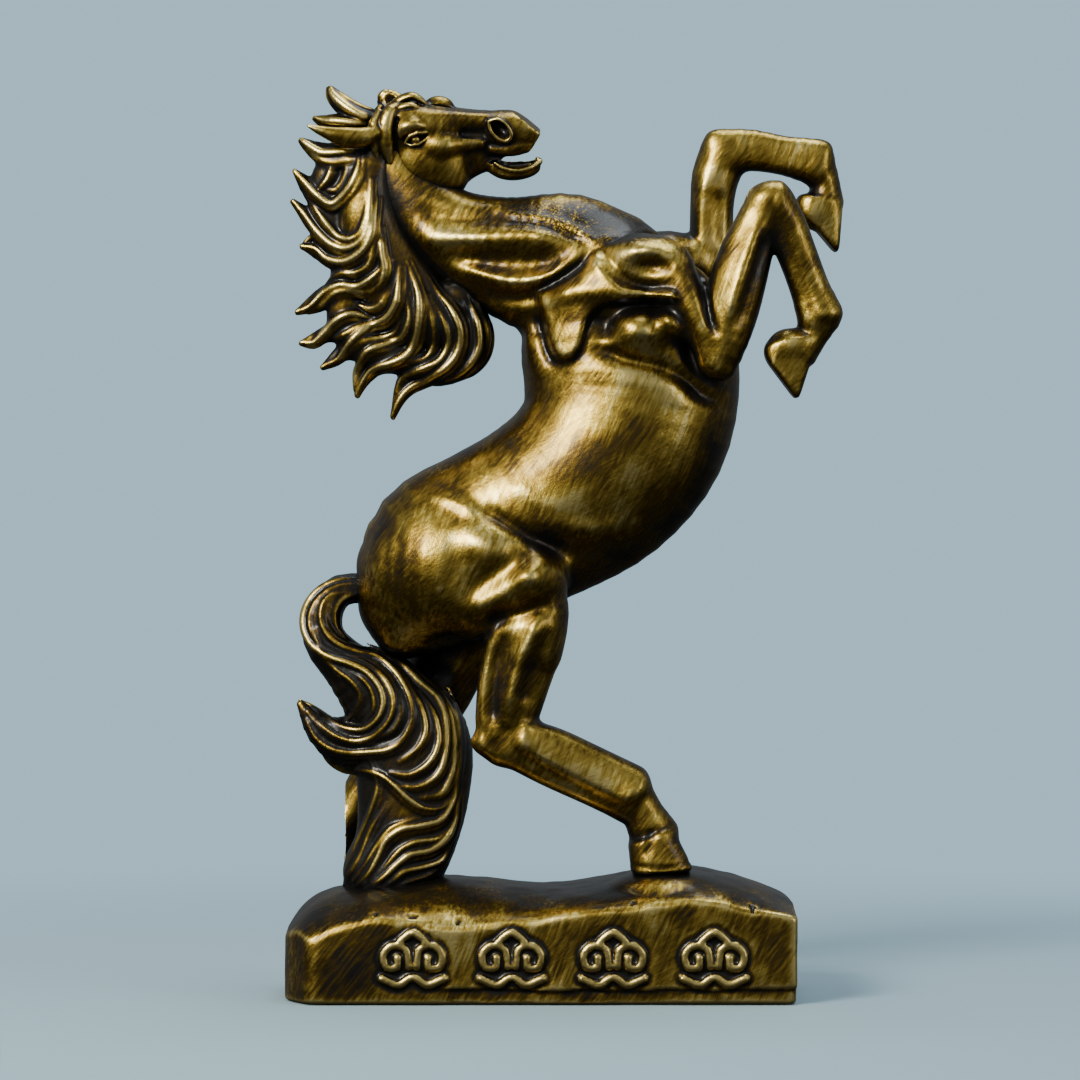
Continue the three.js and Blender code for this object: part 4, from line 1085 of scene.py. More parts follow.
TAIL_STRANDS = [
    ([(-68, 180.5), (-80.2, 180.8), (-89.6, 179.6), (-97.1, 175), (-101.8, 167.4), (-102.4, 159.9),
      (-98.9, 152.4),
      (-91.4, 147.3), (-82.1, 144), (-74.6, 140.3), (-68.9, 133.7), (-67.5, 127.1), (-69.9, 120.6), (-76.4,
                                                                                                     115.8),
      (-84.9, 116.4), (-91.4, 119.8), (-98, 124.5), (-105.2, 128.4)], 1.8),
    ([(-82, 175), (-92, 173), (-95, 165), (-92.4, 157.1), (-86.7, 152), (-78.3, 148.7), (-70.8, 147),
      (-64.5, 142.5),
      (-59.6, 136.5), (-55.8, 128.1), (-55.3, 119.6), (-59.6, 112.1), (-67, 109), (-74, 109.5)], 1.4),
    ([(-80, 147), (-72.7, 142.8), (-66.6, 137), (-63.3, 129), (-64.2, 121.5), (-70.5, 113.8),
      (-78.3, 110.7),
      (-86.7, 112.1), (-94.2, 117), (-100.5, 124)], 1.7),
    ([(-56, 119), (-59.5, 110.5), (-66, 107), (-74, 106), (-83, 105.7), (-90.5, 107.4), (-97.1, 112.1),
      (-101.5, 120)], 1.6),
    ([(-36, 85), (-42.7, 81.8), (-50.2, 82), (-56.7, 86), (-62.4, 91.5), (-68, 95.8), (-75.5, 98),
      (-83.9, 98),
      (-90.5, 101), (-96, 107)], 1.5),
    ([(-76, 151), (-67.1, 147.2), (-59.6, 143.2), (-52.1, 135.8), (-44.6, 129), (-39.9, 121.5),
      (-38.5, 114),
      (-39.4, 105.6), (-43.6, 97.1), (-50.2, 92), (-56.5, 91), (-64, 93)], 1.7),
    ([(-58, 137), (-51, 125), (-49.2, 115), (-53, 107.5), (-61, 102)], 1.4),
    ([(-52, 133), (-45.5, 122), (-43.6, 111), (-47.4, 102), (-56, 96.5), (-65, 97.5)], 1.5),
    ([(-61, 133), (-60, 122), (-64, 115), (-71, 112.5)], 1.3),
    ([(-48, 136), (-37.5, 125), (-33.5, 115), (-33, 105), (-35.5, 96), (-42, 88.5), (-52, 86.5)], 1.6),
    ([(-40, 133), (-32.5, 120), (-30.5, 108), (-31.5, 96), (-35, 86)], 1.4),
    ([(-31, 96), (-34, 85), (-42.7, 77), (-50.2, 74.6), (-59.6, 72.8), (-66.1, 68.1), (-69.9, 60.6),
      (-73.6, 54),
      (-78.3, 48.6), (-85, 44)], 1.7),
    ([(-52, 78), (-64, 73.4), (-70, 66), (-75, 58), (-81, 50)], 1.3),
    ([(-31, 88), (-33, 77), (-39, 68.8), (-47.4, 63.8), (-55.8, 62), (-61.4, 57.8), (-68, 51.6),
      (-74.6, 47),
      (-82, 43.5)], 1.8),
    ([(-36, 75), (-44, 69), (-53, 67.5), (-60, 64), (-66, 57.5), (-73, 50)], 1.3),
    ([(-35, 68), (-42.7, 59.4), (-50.2, 56.6), (-58.6, 54.6), (-64, 50), (-71, 45.5)], 1.6),
    ([(-39, 58), (-48, 53), (-57, 50), (-65, 45.5)], 1.3),
    ([(-98, 159), (-94.2, 148.5), (-87.7, 141.4), (-81.1, 136.5), (-77.4, 130.9), (-79.2, 124.3),
      (-84, 119.6)], 1.4),
    ([(-84, 142), (-75.5, 136.7), (-71.9, 130.9), (-71.6, 124.3), (-76, 118.6)], 1.3),
    ([(-77, 175), (-85.5, 172), (-89, 166.5), (-88.5, 160), (-84, 154.5)], 1.2),
    ([(-74, 104), (-70, 92), (-73, 80), (-79, 66), (-85, 52)], 1.4),
    ([(-66, 84), (-72, 74), (-78, 60), (-86, 47)], 1.3),
]


def mane_clay(body):
    clay = Clay((-113, -19, 246), (-16, 19, 400), 0.6)
    clay.limb(MANE_CREST, 0)
    for line, breadth in MANE_LOCKS:
        count = len(line)
        stations = []
        for i, (x, z) in enumerate(line):
            t = i / (count - 1)
            deep = 1.4 + 9.5 * (1 - t) ** 1.3 * min(1, 0.45 + 2.2 * t)
            stations.append((x, 0, z, breadth * min(1, 4.4 * (1.05 - t)), deep))
        clay.limb(stations, 1.2, 4.0)
    clay.limb(MANE_GROUND, 2.0, 5.0)
    clay.egg((-38, 0, 302), (13, 9.5, 9), 3, 40)
    clay.ground = clay.field.copy()
    for flank in (-1, 1):
        for line, radius in MANE_STRANDS:
            lay_strand(clay, clay.ground, line, radius * 1.12, flank, under=body)
            lay_strand(clay, clay.ground, beside(line, radius * 1.35), radius * 0.55, flank, 0.1,
                       under=body)
    return clay


def tail_clay():
    clay = Clay((-111, -25, 38), (-20, 20, 190), 0.6)
    clay.limb(TAIL, 0)
    clay.limb(TAIL_CURL, 1.5)
    clay.egg((-70.5, -3, 53), (15, 12.5, 17), 3)
    clay.ground = clay.field.copy()
    for flank in (-1, 1):
        for line, radius in TAIL_STRANDS:
            line = [(x - 5 * max(0, (x + 43) / 13), z) for x, z in line]
            lay_strand(clay, clay.ground, line, radius * 1.15, flank, 0.3)
            lay_strand(clay, clay.ground, beside(line, radius * 1.5), radius * 0.5, flank, 0.3)
    return clay


# ---------------------------------------------------------------- the plinth

RIDGE = [(-110, 20), (-97.3, 27), (-83.4, 33.2), (-68.8, 35.2), (-54.2, 33.9), (-32.3, 32.2), (-16.2, 33.7),
         (-1.6, 35.2), (11.5, 38.2), (21.7, 39.8), (39.2, 41), (55.3, 42.8), (67, 43.6), (77.2,
                                                                                          42.7),
                                                                                          (88.9, 39.8),
         (106, 37.6), (110, 36.5)]
MOUND = [(-110, 29), (-104, 37.5), (-98, 42.5), (-90, 45.6), (-72, 48.2), (-56, 50.2), (-40.7, 51.6),
         (-25.7, 50.6),
         (1.3, 47.8), (19.3, 49.4), (37.3, 53), (52, 55), (67.3, 55.6), (79.3, 53.2), (94.3, 48.6), (106,
                                                                                                     43.2),
                                                                                                     (110,
                                                                                                      40)]
PLINTH_HALF_LENGTH = DESIGN_LENGTH / 2
PLINTH_HALF_WIDTH = 48
PLINTH_WALL = 5
UPRIGHT_EDGE = 3.0  # rounding of the upright edges
CORNER_START = 98.4  # the corners under the tail are cut off from here
CORNER_LEAN = (0.851, 0.525)
BOSS_RADIUS = 8
PILLAR_RADIUS = 5
ORNAMENT_HEIGHT = 19.5
SCREW_PLACES = [(-84, -30), (-84, 30), (92, -33), (92, 33)]
STUD_PLACES = [(53, -22, 34), (-84, 26, 30), (-62, -6, 32)]
SCROLL_CENTRES = [-54, -12, 31, 74]
CURL = [(-1.5, -3), (-3.2, 4.6), (-8.6, 6), (-12.4, 2.2), (-11, -3.2), (-6.8, -3), (-6.4, 0.8)]
SCROLL = [
    CURL,
    [(-u, v) for u, v in CURL],
    [(-5.2, 8), (0, 11.4), (5.2, 8)],
    [(-13, -8), (-6, -10.6), (0, -7.4), (6, -10.6), (13, -8)],
]


def grain(u, v, size, seed):
    """Smooth noise over a plane, from 0 to 1."""
    table = np.random.RandomState(seed).rand(64, 64)
    u, v = np.asarray(u) / size + 200.0, np.asarray(v) / size + 200.0
    i, j = np.floor(u).astype(int), np.floor(v).astype(int)
    fu, fv = u - i, v - j
    fu, fv = fu * fu * (3 - 2 * fu), fv * fv * (3 - 2 * fv)

    def row(j):
        return table[i % 64, j % 64] * (1 - fu) + table[(i + 1) % 64, j % 64] * fu

    return row(j) * (1 - fv) + row(j + 1) * fv


def plinth_clay():
    clay = Clay((-113, -52, -3), (113, 52, 62), 0.8)
    x, y, z = clay.grid(tuple(slice(0, n) for n in clay.field.shape))
    across = np.abs(y)
    ridge = np.interp(x, *flat_curve(RIDGE, 1.0).T)
    mound = np.interp(x, *flat_curve(MOUND, 1.0).T)
    plan = -smooth_min(-(x - PLINTH_HALF_LENGTH), -(across - PLINTH_HALF_WIDTH), UPRIGHT_EDGE)
    plan = -smooth_min(-plan, -(-x - PLINTH_HALF_LENGTH), UPRIGHT_EDGE)
    corner = CORNER_LEAN[0] * (x + CORNER_START) - CORNER_LEAN[1] * (across - PLINTH_HALF_WIDTH)
    plan = -smooth_min(-plan, corner, 4.0)
    rise = np.clip(1 - np.clip(across / PLINTH_HALF_WIDTH, 0, 1) ** 2.3, 0, 1) ** 0.72
    top = ridge + (mound - ridge) * rise
    top = top + 1.1 * (grain(x, y, 17, 1) - 0.5) + 0.5 * (grain(x, y, 6, 2) - 0.5)
    top = top - 2.2 * np.clip((across - 44) / 4, 0, 1) * (grain(x, y, 5, 9) > 0.86)
    sides = plan + 0.7 * (grain(x, z, 21, 3) - 0.5) + 0.35 * (grain(x, z, 7, 4) - 0.5)
    sides = sides + 0.3 * (grain(y, z, 12, 5) - 0.5)
    band = np.clip((7.0 + 1.6 * (grain(x, z, 9, 6) - 0.5) - z) / 0.8, 0, 1) * np.clip((x + 46) / 8, 0, 1)
    sides = sides + 0.9 * band * (y < -40)
    outer = -smooth_min(-sides, -(z - top) * 0.9, 1.0)
    outer = -smooth_min(-outer, z - 0.6, 0.8)
    inner = -smooth_min(-(plan + PLINTH_WALL), -(z - top + PLINTH_WALL) * 0.9, 3.0)
    field = np.maximum(outer, -inner)
    for px, py in SCREW_PLACES:
        pillar = np.maximum(np.hypot(x - px, y - py) - PILLAR_RADIUS, np.maximum(3.9 - z, z - 29))
        field = np.minimum(field, np.maximum(pillar, outer))
    for px, py, seat in STUD_PLACES:
        boss = np.maximum(np.hypot(x - px, y - py) - BOSS_RADIUS, np.maximum(seat - z, z - seat - 12))
        field = np.minimum(field, np.maximum(boss, outer))
    clay.field[:] = np.clip(field, -Clay.FAR, Clay.FAR)
    clay.egg((53, -22, 47.5), (22, 19, 8.2), 4)
    relief = Relief(clay)
    for centre in SCROLL_CENTRES:
        for stroke in SCROLL:
            distance, _ = relief.near_line([(centre + u, ORNAMENT_HEIGHT + v) for u, v in stroke], 1.0)
            relief.height += 1.5 * np.clip((1.75 - distance) / 1.1 + 0.3, 0, 1)
            relief.height -= 0.25 * np.exp(-(((distance - 3.0) / 1.0) ** 2))
    relief.height = np.clip(relief.height, -0.4, 1.3)
    relief.press(-1, 43.5, 46.0)
    for px, py in SCREW_PLACES:
        clay.limb([(px, py, -6, 2.3, 2.3), (px, py, 15, 2.3, 2.3)], 0, cut=True, cap=0.3)
    for px, py, seat in STUD_PLACES:
        clay.limb([(px, py, 20, 2.8, 2.8), (px, py, 70, 2.8, 2.8)], 0, cut=True, cap=0.3)
    return clay


# ---------------------------------------------------------------- bronze


def node(tree, kind, **inputs):
    made = tree.nodes.new(kind)
    for name, value in inputs.items():
        made.inputs[name.replace("_", " ")].default_value = value
    return made


def math_node(tree, operation, a, b=None, c=None, clamp=False):
    made = tree.nodes.new("ShaderNodeMath")
    made.operation = operation
    made.use_clamp = clamp
    for i, value in enumerate((a, b, c)):
        if value is None:
            continue
        if isinstance(value, (int, float)):
            made.inputs[i].default_value = value
        else:
            tree.links.new(value, made.inputs[i])
    return made.outputs[0]


def noise(tree, coordinates, scale, turn=(0, 0, 0), stretch=(1, 1, 1), detail=3.0, rough=0.55):
    mapping = tree.nodes.new("ShaderNodeMapping")
    mapping.vector_type = "TEXTURE"
    mapping.inputs["Rotation"].default_value = [math.radians(a) for a in turn]
    mapping.inputs["Scale"].default_value = [1 / a for a in stretch]
    tree.links.new(coordinates, mapping.inputs["Vector"])
    made = node(tree, "ShaderNodeTexNoise", Scale=scale, Detail=detail, Roughness=rough)
    tree.links.new(mapping.outputs[0], made.inputs["Vector"])
    return made.outputs["Fac"]


def ramp(tree, value, stops):
    made = tree.nodes.new("ShaderNodeValToRGB")
    elements = made.color_ramp.elements
    while len(elements) < len(stops):
        elements.new(0.5)
    for element, (place, colour) in zip(elements, stops):
        element.position = place
        element.color = (*colour, 1)
    tree.links.new(value, made.inputs["Fac"])
    return made.outputs["Color"]


def new_material(name):
    material = bpy.data.materials.new(name)
    material.use_nodes = True
    tree = material.node_tree
    return material, tree, tree.nodes["Principled BSDF"]


def bronze_material(name, base=0.5, brush=1.0, hollow_depth=1.0, ridge_gain=1.0):
    """Black-brown patina with gold brushed over what stands proud, under a clear lacquer; the gold is cut
    back in hollows as dark patina and painted shade, and set by which way a surface faces as painted light
    and shade.
    """
    material, tree, shader = new_material(name)
    place = tree.nodes.new("ShaderNodeTexCoord").outputs["Object"]
    patina_and_shade = node(tree, "ShaderNodeAttribute")
    patina_and_shade.attribute_name = "patina_and_shade"
    ridge = node(tree, "ShaderNodeAttribute")
    ridge.attribute_name = "ridge"
    shape = node(tree, "ShaderNodeNewGeometry")
    split = tree.nodes.new("ShaderNodeSeparateXYZ")
    tree.links.new(shape.outputs["Normal"], split.inputs[0])

    patches = noise(tree, place, 36, detail=3)
    patches_fine = noise(tree, place, 95, detail=3)
    first = noise(tree, place, 1, (0, 38, 0), (800, 500, 48), 5, 0.62)
    second = noise(tree, place, 1, (0, 22, 12), (700, 450, 42), 5, 0.62)
    third = noise(tree, place, 1, (0, 62, 0), (800, 500, 60), 5, 0.62)
    choice = ramp(tree, patches, [(0.42, (0, 0, 0)), (0.56, (1, 1, 1))])
    choice_fine = ramp(tree, patches_fine, [(0.44, (0, 0, 0)), (0.58, (1, 1, 1))])
    blend_one = math_node(tree, "MULTIPLY_ADD", math_node(tree, "SUBTRACT", second, first), choice, first)
    strokes = math_node(
        tree, "MULTIPLY_ADD", math_node(tree, "SUBTRACT", third, blend_one),
        math_node(tree, "MULTIPLY", choice_fine, 0.45), blend_one,
    )
    strokes = math_node(tree, "SUBTRACT", strokes, 0.5)

    gold = math_node(tree, "MULTIPLY_ADD", ridge.outputs["Fac"], 0.55 * ridge_gain, base)
    # Darker in hollows and between castings: partly dark patina, partly painted shade.
    gold = math_node(tree, "MULTIPLY_ADD", patina_and_shade.outputs["Fac"], -1.35 * hollow_depth, gold)
    gold = math_node(tree, "MULTIPLY_ADD", strokes, 1.5 * brush, gold)
    gold = math_node(tree, "MULTIPLY_ADD", math_node(tree, "SUBTRACT", patches, 0.5), 1.8, gold)
    # Painted light and shade: surfaces facing the flanks lighter, tops and undersides darker.
    flank = math_node(tree, "ABSOLUTE", split.outputs["Y"])
    gold = math_node(tree, "MULTIPLY_ADD", math_node(tree, "SUBTRACT", flank, 0.6), 0.5, gold)
    aged = node(tree, "ShaderNodeAttribute")
    aged.attribute_name = "aged"
    dots = noise(tree, place, 900, detail=2)
    gold = math_node(
        tree, "MULTIPLY_ADD", math_node(tree, "MULTIPLY_ADD", dots, 1.9, -1.3), aged.outputs["Fac"], gold
    )
    gold = math_node(tree, "MULTIPLY", gold, 1.0, clamp=True)
    colour = ramp(tree, gold, [
        (0.0, (0.008, 0.007, 0.005)),
        (0.22, (0.027, 0.017, 0.006)),
        (0.45, (0.125, 0.075, 0.012)),
        (0.68, (0.37, 0.24, 0.034)),
        (0.88, (0.64, 0.455, 0.085)),
        (1.0, (0.84, 0.66, 0.22)),
    ])
    tree.links.new(colour, shader.inputs["Base Color"])
    metal = ramp(tree, gold, [(0.05, (0.55, 0.55, 0.55)), (0.5, (1, 1, 1))])
    tree.links.new(metal, shader.inputs["Metallic"])
    rough = math_node(tree, "MULTIPLY_ADD", strokes, 0.25, 0.41)
    rough = math_node(tree, "MULTIPLY_ADD", gold, -0.08, rough)
    tree.links.new(rough, shader.inputs["Roughness"])
    shader.inputs["Coat Weight"].default_value = 0.35
    shader.inputs["Coat Roughness"].default_value = 0.18
    grit = noise(tree, place, 700, detail=4)
    height = math_node(tree, "MULTIPLY_ADD", strokes, 0.6, grit)
    height = math_node(tree, "MULTIPLY_ADD", math_node(tree, "MULTIPLY", dots, aged.outputs["Fac"]), 3.0,
                       height)
    bump = node(tree, "ShaderNodeBump", Strength=0.35, Distance=0.00035)
    tree.links.new(height, bump.inputs["Height"])
    tree.links.new(bump.outputs[0], shader.inputs["Normal"])
    return material


def plain_metal(name, colour, roughness):
    """Turned or drawn metal, faintly uneven."""
    material, tree, shader = new_material(name)
    place = tree.nodes.new("ShaderNodeTexCoord").outputs["Object"]
    mottled = noise(tree, place, 300, detail=4)
    dark = tuple(c * 0.7 for c in colour)
    tree.links.new(ramp(tree, mottled, [(0.3, dark), (0.7, colour)]), shader.inputs["Base Color"])
    tree.links.new(math_node(tree, "MULTIPLY_ADD", mottled, 0.15, roughness), shader.inputs["Roughness"])
    shader.inputs["Metallic"].default_value = 1.0
    return material


def felt_material():
    material, tree, shader = new_material("felt")
    place = tree.nodes.new("ShaderNodeTexCoord").outputs["Object"]
    fibres = noise(tree, place, 1800, detail=5, rough=0.8)
    colour = ramp(tree, fibres, [(0.3, (0.008, 0.014, 0.010)), (0.7, (0.030, 0.045, 0.034))])
    tree.links.new(colour, shader.inputs["Base Color"])
    shader.inputs["Roughness"].default_value = 0.95
    bump = node(tree, "ShaderNodeBump", Strength=0.6, Distance=0.0004)
    tree.links.new(fibres, bump.inputs["Height"])
    tree.links.new(bump.outputs[0], shader.inputs["Normal"])
    return material


# ---------------------------------------------------------------- build

body = body_clay()
head = head_clay()
mane = mane_clay(body)
tail = tail_clay()
plinth = plinth_clay()
# The hollows between neighbouring castings are darkened on each casting, as dark patina and as painted
# shade.
CLAYS = [body, head, mane, tail, plinth]  # for the hollows between neighbours


def aged_areas(points):
    """Where the gold has worn off: the stippled top of the breast."""
    spot = ((points[:, 0] - 22) / 34) ** 2 + ((points[:, 2] - 334 - (22 - points[:, 0]) * 0.12) / 8.5) ** 2
    return np.clip(1.5 - spot, 0, 1) * (points[:, 2] > 320)


def shade_patches(points):
    """Painted shade in patches, added to the darkening of the hollows: by the mane, on breast, belly and
    flank, and on the forelegs.
    """
    def spot(x, z, along, across, tilt):
        c, s = math.cos(math.radians(tilt)), math.sin(math.radians(tilt))
        u, v = points[:, 0] - x, points[:, 2] - z
        return np.clip(1.4 - np.hypot((u * c + v * s) / along, (v * c - u * s) / across), 0, 1)
    return (
        0.30 * spot(-60, 335, 30, 10, -58) + 0.14 * spot(20, 336, 40, 9, -10) + 0.20 * spot(72, 222, 40, 12,
                                                                                            62)
        + 0.24 * spot(20, 234, 24, 10, 28) + 0.22 * spot(6, 204, 22, 6, -18) + 0.20 * spot(96, 318, 34, 10,
                                                                                           68)
    )


def raised_hair(clay, points):
    """How far a point stands over the ground the strands lie on, 1 on the crown of a strand."""
    top, clay.field = clay.field, clay.ground
    height = clay.sample(points)
    clay.field = top
    return np.clip(height / 1.7, 0, 1)


def cast(name, clay, material, nodes, reaches, ridge_size):
    """Skins a clay, works out how it is shaded, and adds it as one piece or shared out between several."""
    points, quads = biggest_shell(*skin(clay))
    normals = clay.gradient(points)
    points, normals = clay.rolled(points), normals @ clay.turn.T
    # Painted shade and dark patina: darker in grooves, under overhangs and between castings.
    patina_and_shade = relaxed(hollowness(points, normals, reaches), quads, 2)
    ridge = ridgeness(points, quads, normals, 14) / ridge_size
    aged = aged_areas(points)
    if hasattr(clay, "ground"):
        raised = relaxed(raised_hair(clay, points), quads, 2)
        ridge = 0.6 * ridge + 0.75 * np.clip((raised - 0.3) / 0.7, 0, 1) ** 1.4 - 0.3
    else:
        # Painted shade: darker patches by the mane, on breast, belly, flank and forelegs, above 120 mm.
        patina_and_shade = patina_and_shade + shade_patches(points) * (points[:, 2] > 120)
    looks = {"patina_and_shade": patina_and_shade, "ridge": ridge, "aged": aged}
    if isinstance(nodes, str):
        obj = quad_mesh(name, points, quads)
        for attribute, values in looks.items():
            paint(obj, attribute, values)
        finish_piece(obj, material, [nodes])
    else:
        shaded = vertex_normals(points, quads)
        for part, own_quads in nodes(points, quads).items():
            used, own_quads = np.unique(own_quads, return_inverse=True)
            own_quads = own_quads.reshape(-1, 4)
            own_points, lids = closed(points[used], own_quads)
            extra = len(own_points) - len(used)
            faces = own_quads.tolist() + lids
            obj = add_mesh(part, own_points, faces)
            obj.data.normals_split_custom_set_from_vertices(
                np.concatenate([shaded[used], np.tile((0.0, 0.0, 1.0), (extra, 1))]).tolist()
            )
            for attribute, values in looks.items():
                paint(obj, attribute, np.concatenate([values[used], np.zeros(extra)]))
            finish_piece(obj, material, [part + "_casting"])


def vertex_normals(points, quads):
    corners = points[quads]
    face = np.cross(corners[:, 2] - corners[:, 0], corners[:, 3] - corners[:, 1])
    total = np.zeros_like(points)
    for i in range(4):
        for axis in range(3):
            total[:, axis] += np.bincount(quads[:, i], face[:, axis], len(points))
    return total / np.maximum(np.linalg.norm(total, axis=1), 1e-12)[:, None]


def closed(points, quads):
    """The points and the triangles that close each open rim with a lid to the rim's middle."""
    size = len(points)
    start = quads.ravel()
    end = np.roll(quads, -1, axis=1).ravel()
    back = np.isin(start * size + end, end * size + start)
    rim = np.column_stack([start, end])[~back]
    group = np.arange(size)
    while True:
        lowest = group[rim].min(axis=1)
        new = group.copy()
        np.minimum.at(new, rim[:, 0], lowest)
        np.minimum.at(new, rim[:, 1], lowest)
        if np.array_equal(new, group):
            break
        group = new
    lids = []
    middles = []
    for name in np.unique(group[rim[:, 0]]):
        own = rim[group[rim[:, 0]] == name]
        middles.append(points[own[:, 0]].mean(axis=0))
        lids += [(b, a, size + len(middles) - 1) for a, b in own.tolist()]
    return np.concatenate([points] + [np.array(middles)] * bool(middles)), lids


def parted_castings(points, quads):
    """Shares the body's skin out between its castings, each limb up to where the trunk takes over."""
    low, high = (-90, -50, 36), (142, 46, 386)
    core = Clay(low, high, 2.0)
    for stations in (TRUNK, NECK, HAUNCH, mirrored(HAUNCH), NEAR_THIGH, FAR_THIGH, NEAR_SHOULDER,
                     FAR_SHOULDER):
        core.limb(stations, 0, 8)
    limbs = {
        "right_foreleg": (NEAR_FOREARM, NEAR_FORE_CANNON, NEAR_FORE_PASTERN),
        "left_foreleg": (FAR_FOREARM, FAR_FORE_CANNON, FAR_FORE_PASTERN),
        "right_hind_leg": (NEAR_HIND_LEG, NEAR_CANNON, NEAR_PASTERN),
        "left_hind_leg": (FAR_HIND_LEG, FAR_CANNON),
    }
    distance = core.sample(points)
    owner = {name: np.zeros(len(points)) for name in ("torso", "neck", *limbs)}
    taken = np.zeros(len(points), bool)
    for name, parts in limbs.items():
        leg = Clay(low, high, 2.0)
        for stations in parts:
            leg.limb(stations, 0, 8)
        beyond = points[:, 2] < 90 if "hind" in name else points[:, 0] > 90
        side = points[:, 1] < 0 if name.startswith("right") else points[:, 1] > 0
        mine = side & ((leg.sample(points) < distance - 0.2) | beyond) & ~taken
        owner[name][mine] = 1
        taken |= mine
    neck = ~taken & ((points[:, 0] - 8) * -0.829 + (points[:, 2] - 318) * 0.559 > 0)
    owner["neck"][neck] = 1
    owner["torso"][~taken & ~neck] = 1
    share = np.stack([relaxed(mask, quads, 8) for mask in owner.values()])
    winner = share[:, quads].sum(axis=2).argmax(axis=0)
    return {name: quads[winner == i] for i, name in enumerate(owner)}


smooth_bronze = bronze_material("bronze_body", 0.53)
hair_bronze = bronze_material("bronze_hair", 0.39, brush=0.6, ridge_gain=1.7)
tail_bronze = bronze_material("bronze_tail", 0.29, brush=0.6, ridge_gain=1.7)
rock_bronze = bronze_material("bronze_rock", 0.38, brush=1.2, ridge_gain=1.9)
steel = plain_metal("steel", (0.55, 0.56, 0.57), 0.32)
pin_brass = plain_metal("pin_brass", (0.72, 0.54, 0.25), 0.3)
felt = felt_material()

cast("body", body, smooth_bronze, parted_castings, (2.0, 4.5, 9.0, 15.0), 0.9)
cast("head", head, smooth_bronze, "head_casting", (0.8, 1.6, 3.2, 6.0), 0.25)
cast("mane", mane, hair_bronze, "mane_casting", (1.0, 2.0, 4.0, 7.0), 0.35)
cast("tail", tail, tail_bronze, "tail_casting", (1.0, 2.0, 4.0, 7.0), 0.35)
cast("plinth", plinth, rock_bronze, "plinth_casting", (1.5, 3.0, 6.0, 10.0), 0.4)

for name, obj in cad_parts.items():
    finish = felt if name == "felt_pad" else pin_brass if name.endswith("dowel") else steel
    obj.data.materials.clear()
    obj.data.materials.append(finish)

# ---------------------------------------------------------------- stage

BACKDROP = (0.435, 0.655, 0.785)


def floor_piece():
    rings, sides = [0.0, 0.3, 0.6, 1.2, 3.0, 8.0, 30.0], 48
    points = [(0, 0, 0)]
    faces = []
    for radius in rings[1:]:
        for i in range(sides):
            angle = 2 * math.pi * i / sides
            points.append((radius * math.cos(angle), radius * math.sin(angle), 0))
    for i in range(sides):
        j = (i + 1) % sides
        faces.append((0, 1 + i, 1 + j))
        for ring in range(len(rings) - 2):
            a, b = 1 + ring * sides, 1 + (ring + 1) * sides
            faces.append((a + i, b + i, b + j, a + j))
    mesh = bpy.data.meshes.new("floor")
    mesh.from_pydata(points, [], faces)
    obj = add_object("floor", mesh)
    obj.location.z = CAD_BOX[0][2]
    material, tree, shader = new_material("floor")
    shader.inputs["Roughness"].default_value = 0.9
    shader.inputs["Base Color"].default_value = (0.44, 0.62, 0.71, 1)
    shader.inputs["Specular IOR Level"].default_value = 0.1
    glow = node(tree, "ShaderNodeEmission", Color=(*BACKDROP, 1), Strength=1.0)
    place = tree.nodes.new("ShaderNodeTexCoord").outputs["Object"]
    away = tree.nodes.new("ShaderNodeVectorMath")
    away.operation = "LENGTH"
    tree.links.new(place, away.inputs[0])
    fade = node(tree, "ShaderNodeMapRange", From_Min=0.2, From_Max=0.75)
    fade.interpolation_type = "SMOOTHSTEP"
    tree.links.new(away.outputs["Value"], fade.inputs["Value"])
    mix = tree.nodes.new("ShaderNodeMixShader")
    tree.links.new(fade.outputs[0], mix.inputs["Fac"])
    tree.links.new(shader.outputs[0], mix.inputs[1])
    tree.links.new(glow.outputs[0], mix.inputs[2])
    tree.links.new(mix.outputs[0], tree.nodes["Material Output"].inputs["Surface"])
    mesh.materials.append(material)
    obj.visible_glossy = False


floor_piece()

# The surroundings that the metal reflects: dim below, brighter above.
world = bpy.data.worlds.new("studio")
bpy.context.scene.world = world
world.use_nodes = True
tree = world.node_tree
direction = tree.nodes.new("ShaderNodeTexCoord").outputs["Generated"]
split = tree.nodes.new("ShaderNodeSeparateXYZ")
tree.links.new(direction, split.inputs[0])
level = math_node(tree, "MULTIPLY_ADD", split.outputs["Z"], 0.5, 0.5)
sky = ramp(tree, level, [
    (0.30, (0.020, 0.022, 0.024)),
    (0.50, (0.14, 0.15, 0.155)),
    (0.72, (0.24, 0.265, 0.285)),
    (1.0, (0.13, 0.145, 0.155)),
])
tree.links.new(sky, tree.nodes["Background"].inputs["Color"])
tree.nodes["Background"].inputs["Strength"].default_value = 1.0


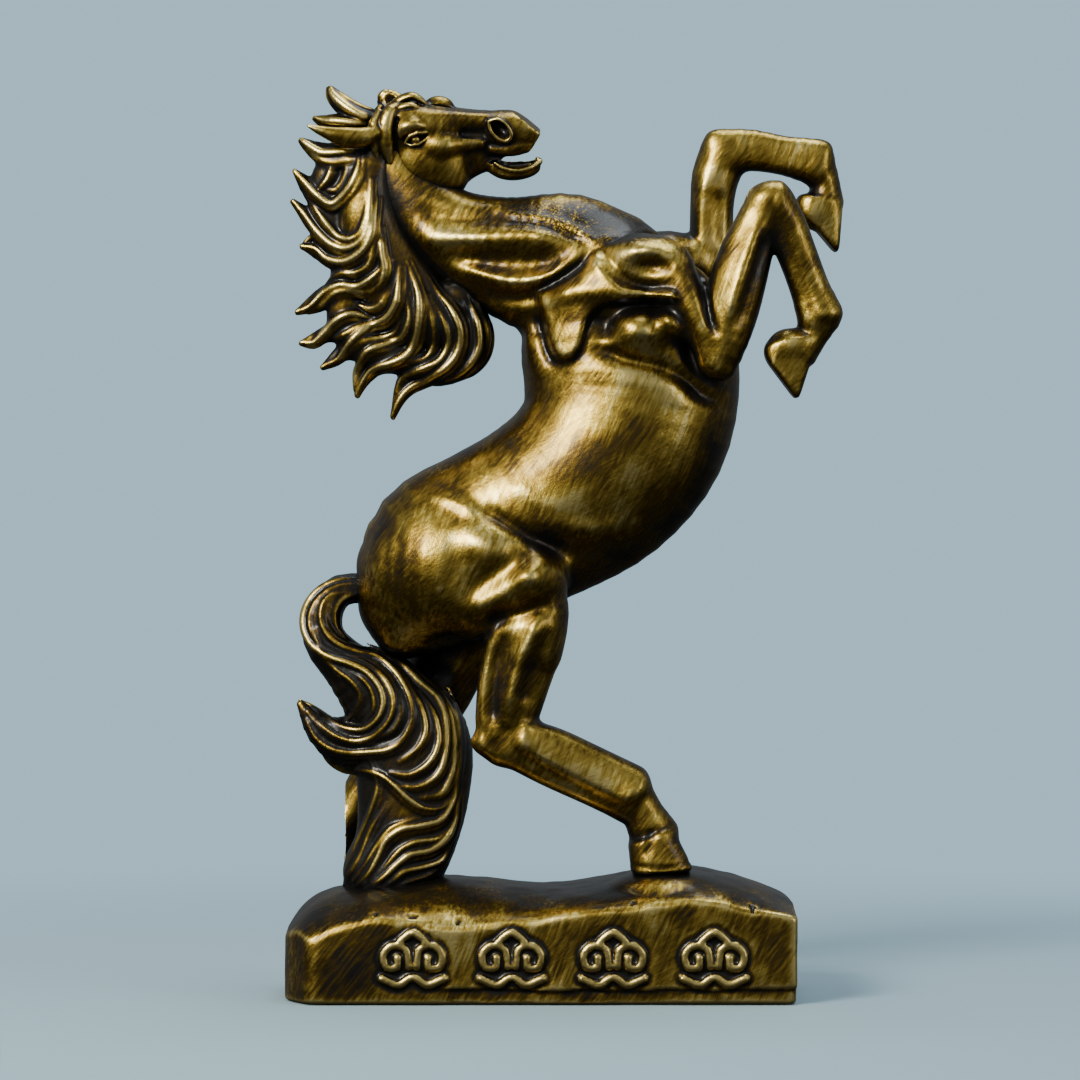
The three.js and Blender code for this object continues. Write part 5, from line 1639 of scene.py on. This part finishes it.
def backdrop():
    """A plain pale wall all round, seen by the camera and not by the metal."""
    points, faces, sides, rows, radius = [], [], 48, 24, 25
    for row in range(rows + 1):
        tilt = math.pi * row / rows - math.pi / 2
        for i in range(sides):
            angle = 2 * math.pi * i / sides
            level = radius * math.cos(tilt)
            points.append((level * math.cos(angle), level * math.sin(angle), radius * math.sin(tilt)))
    for row in range(rows):
        for i in range(sides):
            j = (i + 1) % sides
            faces.append((row * sides + i, row * sides + j, (row + 1) * sides + j, (row + 1) * sides + i))
    mesh = bpy.data.meshes.new("backdrop")
    mesh.from_pydata(points, [], faces)
    obj = add_object("backdrop", mesh)
    material, tree, _ = new_material("backdrop")
    glow = node(tree, "ShaderNodeEmission", Color=(*BACKDROP, 1), Strength=1.0)
    tree.links.new(glow.outputs[0], tree.nodes["Material Output"].inputs["Surface"])
    mesh.materials.append(material)
    obj.visible_diffuse = False
    obj.visible_glossy = False
    obj.visible_transmission = False
    obj.visible_shadow = False


backdrop()


def softbox(name, place, target, width, height, power, colour=(1.0, 0.97, 0.92)):
    light = bpy.data.lights.new(name, "AREA")
    light.shape = "RECTANGLE"
    light.size = width
    light.size_y = height
    light.energy = power
    light.color = colour
    lamp = add_object(name, light)
    lamp.location = place
    lamp.rotation_euler = (Vector(target) - Vector(place)).to_track_quat("-Z", "Y").to_euler()


softbox("key", (-1.1, -1.4, 1.15), (0, 0, 0.2), 0.7, 0.7, 40, (1.0, 0.965, 0.87))
softbox("fill", (1.5, -1.2, 0.7), (0, 0, 0.2), 0.4, 0.9, 3.5)
softbox("top", (0.2, 0.1, 1.6), (0, 0, 0.2), 1.0, 0.7, 11, (0.86, 0.94, 1.0))

SENSOR_WIDTH = 36
VIEW_DISTANCE = 1800 * UNIT
VIEW_HEIGHT = 197.6 * UNIT
VIEW_WIDTH = 470.6 * UNIT  # across the frame, at the middle of the horse
camera_data = bpy.data.cameras.new("camera")
camera_data.sensor_width = SENSOR_WIDTH
camera_data.lens = SENSOR_WIDTH * VIEW_DISTANCE / VIEW_WIDTH
camera = add_object("camera", camera_data)
camera.location = tuple(ORIGIN + np.array([0, -VIEW_DISTANCE, VIEW_HEIGHT]))
camera.rotation_euler = (math.radians(90), 0, 0)
bpy.context.scene.camera = camera
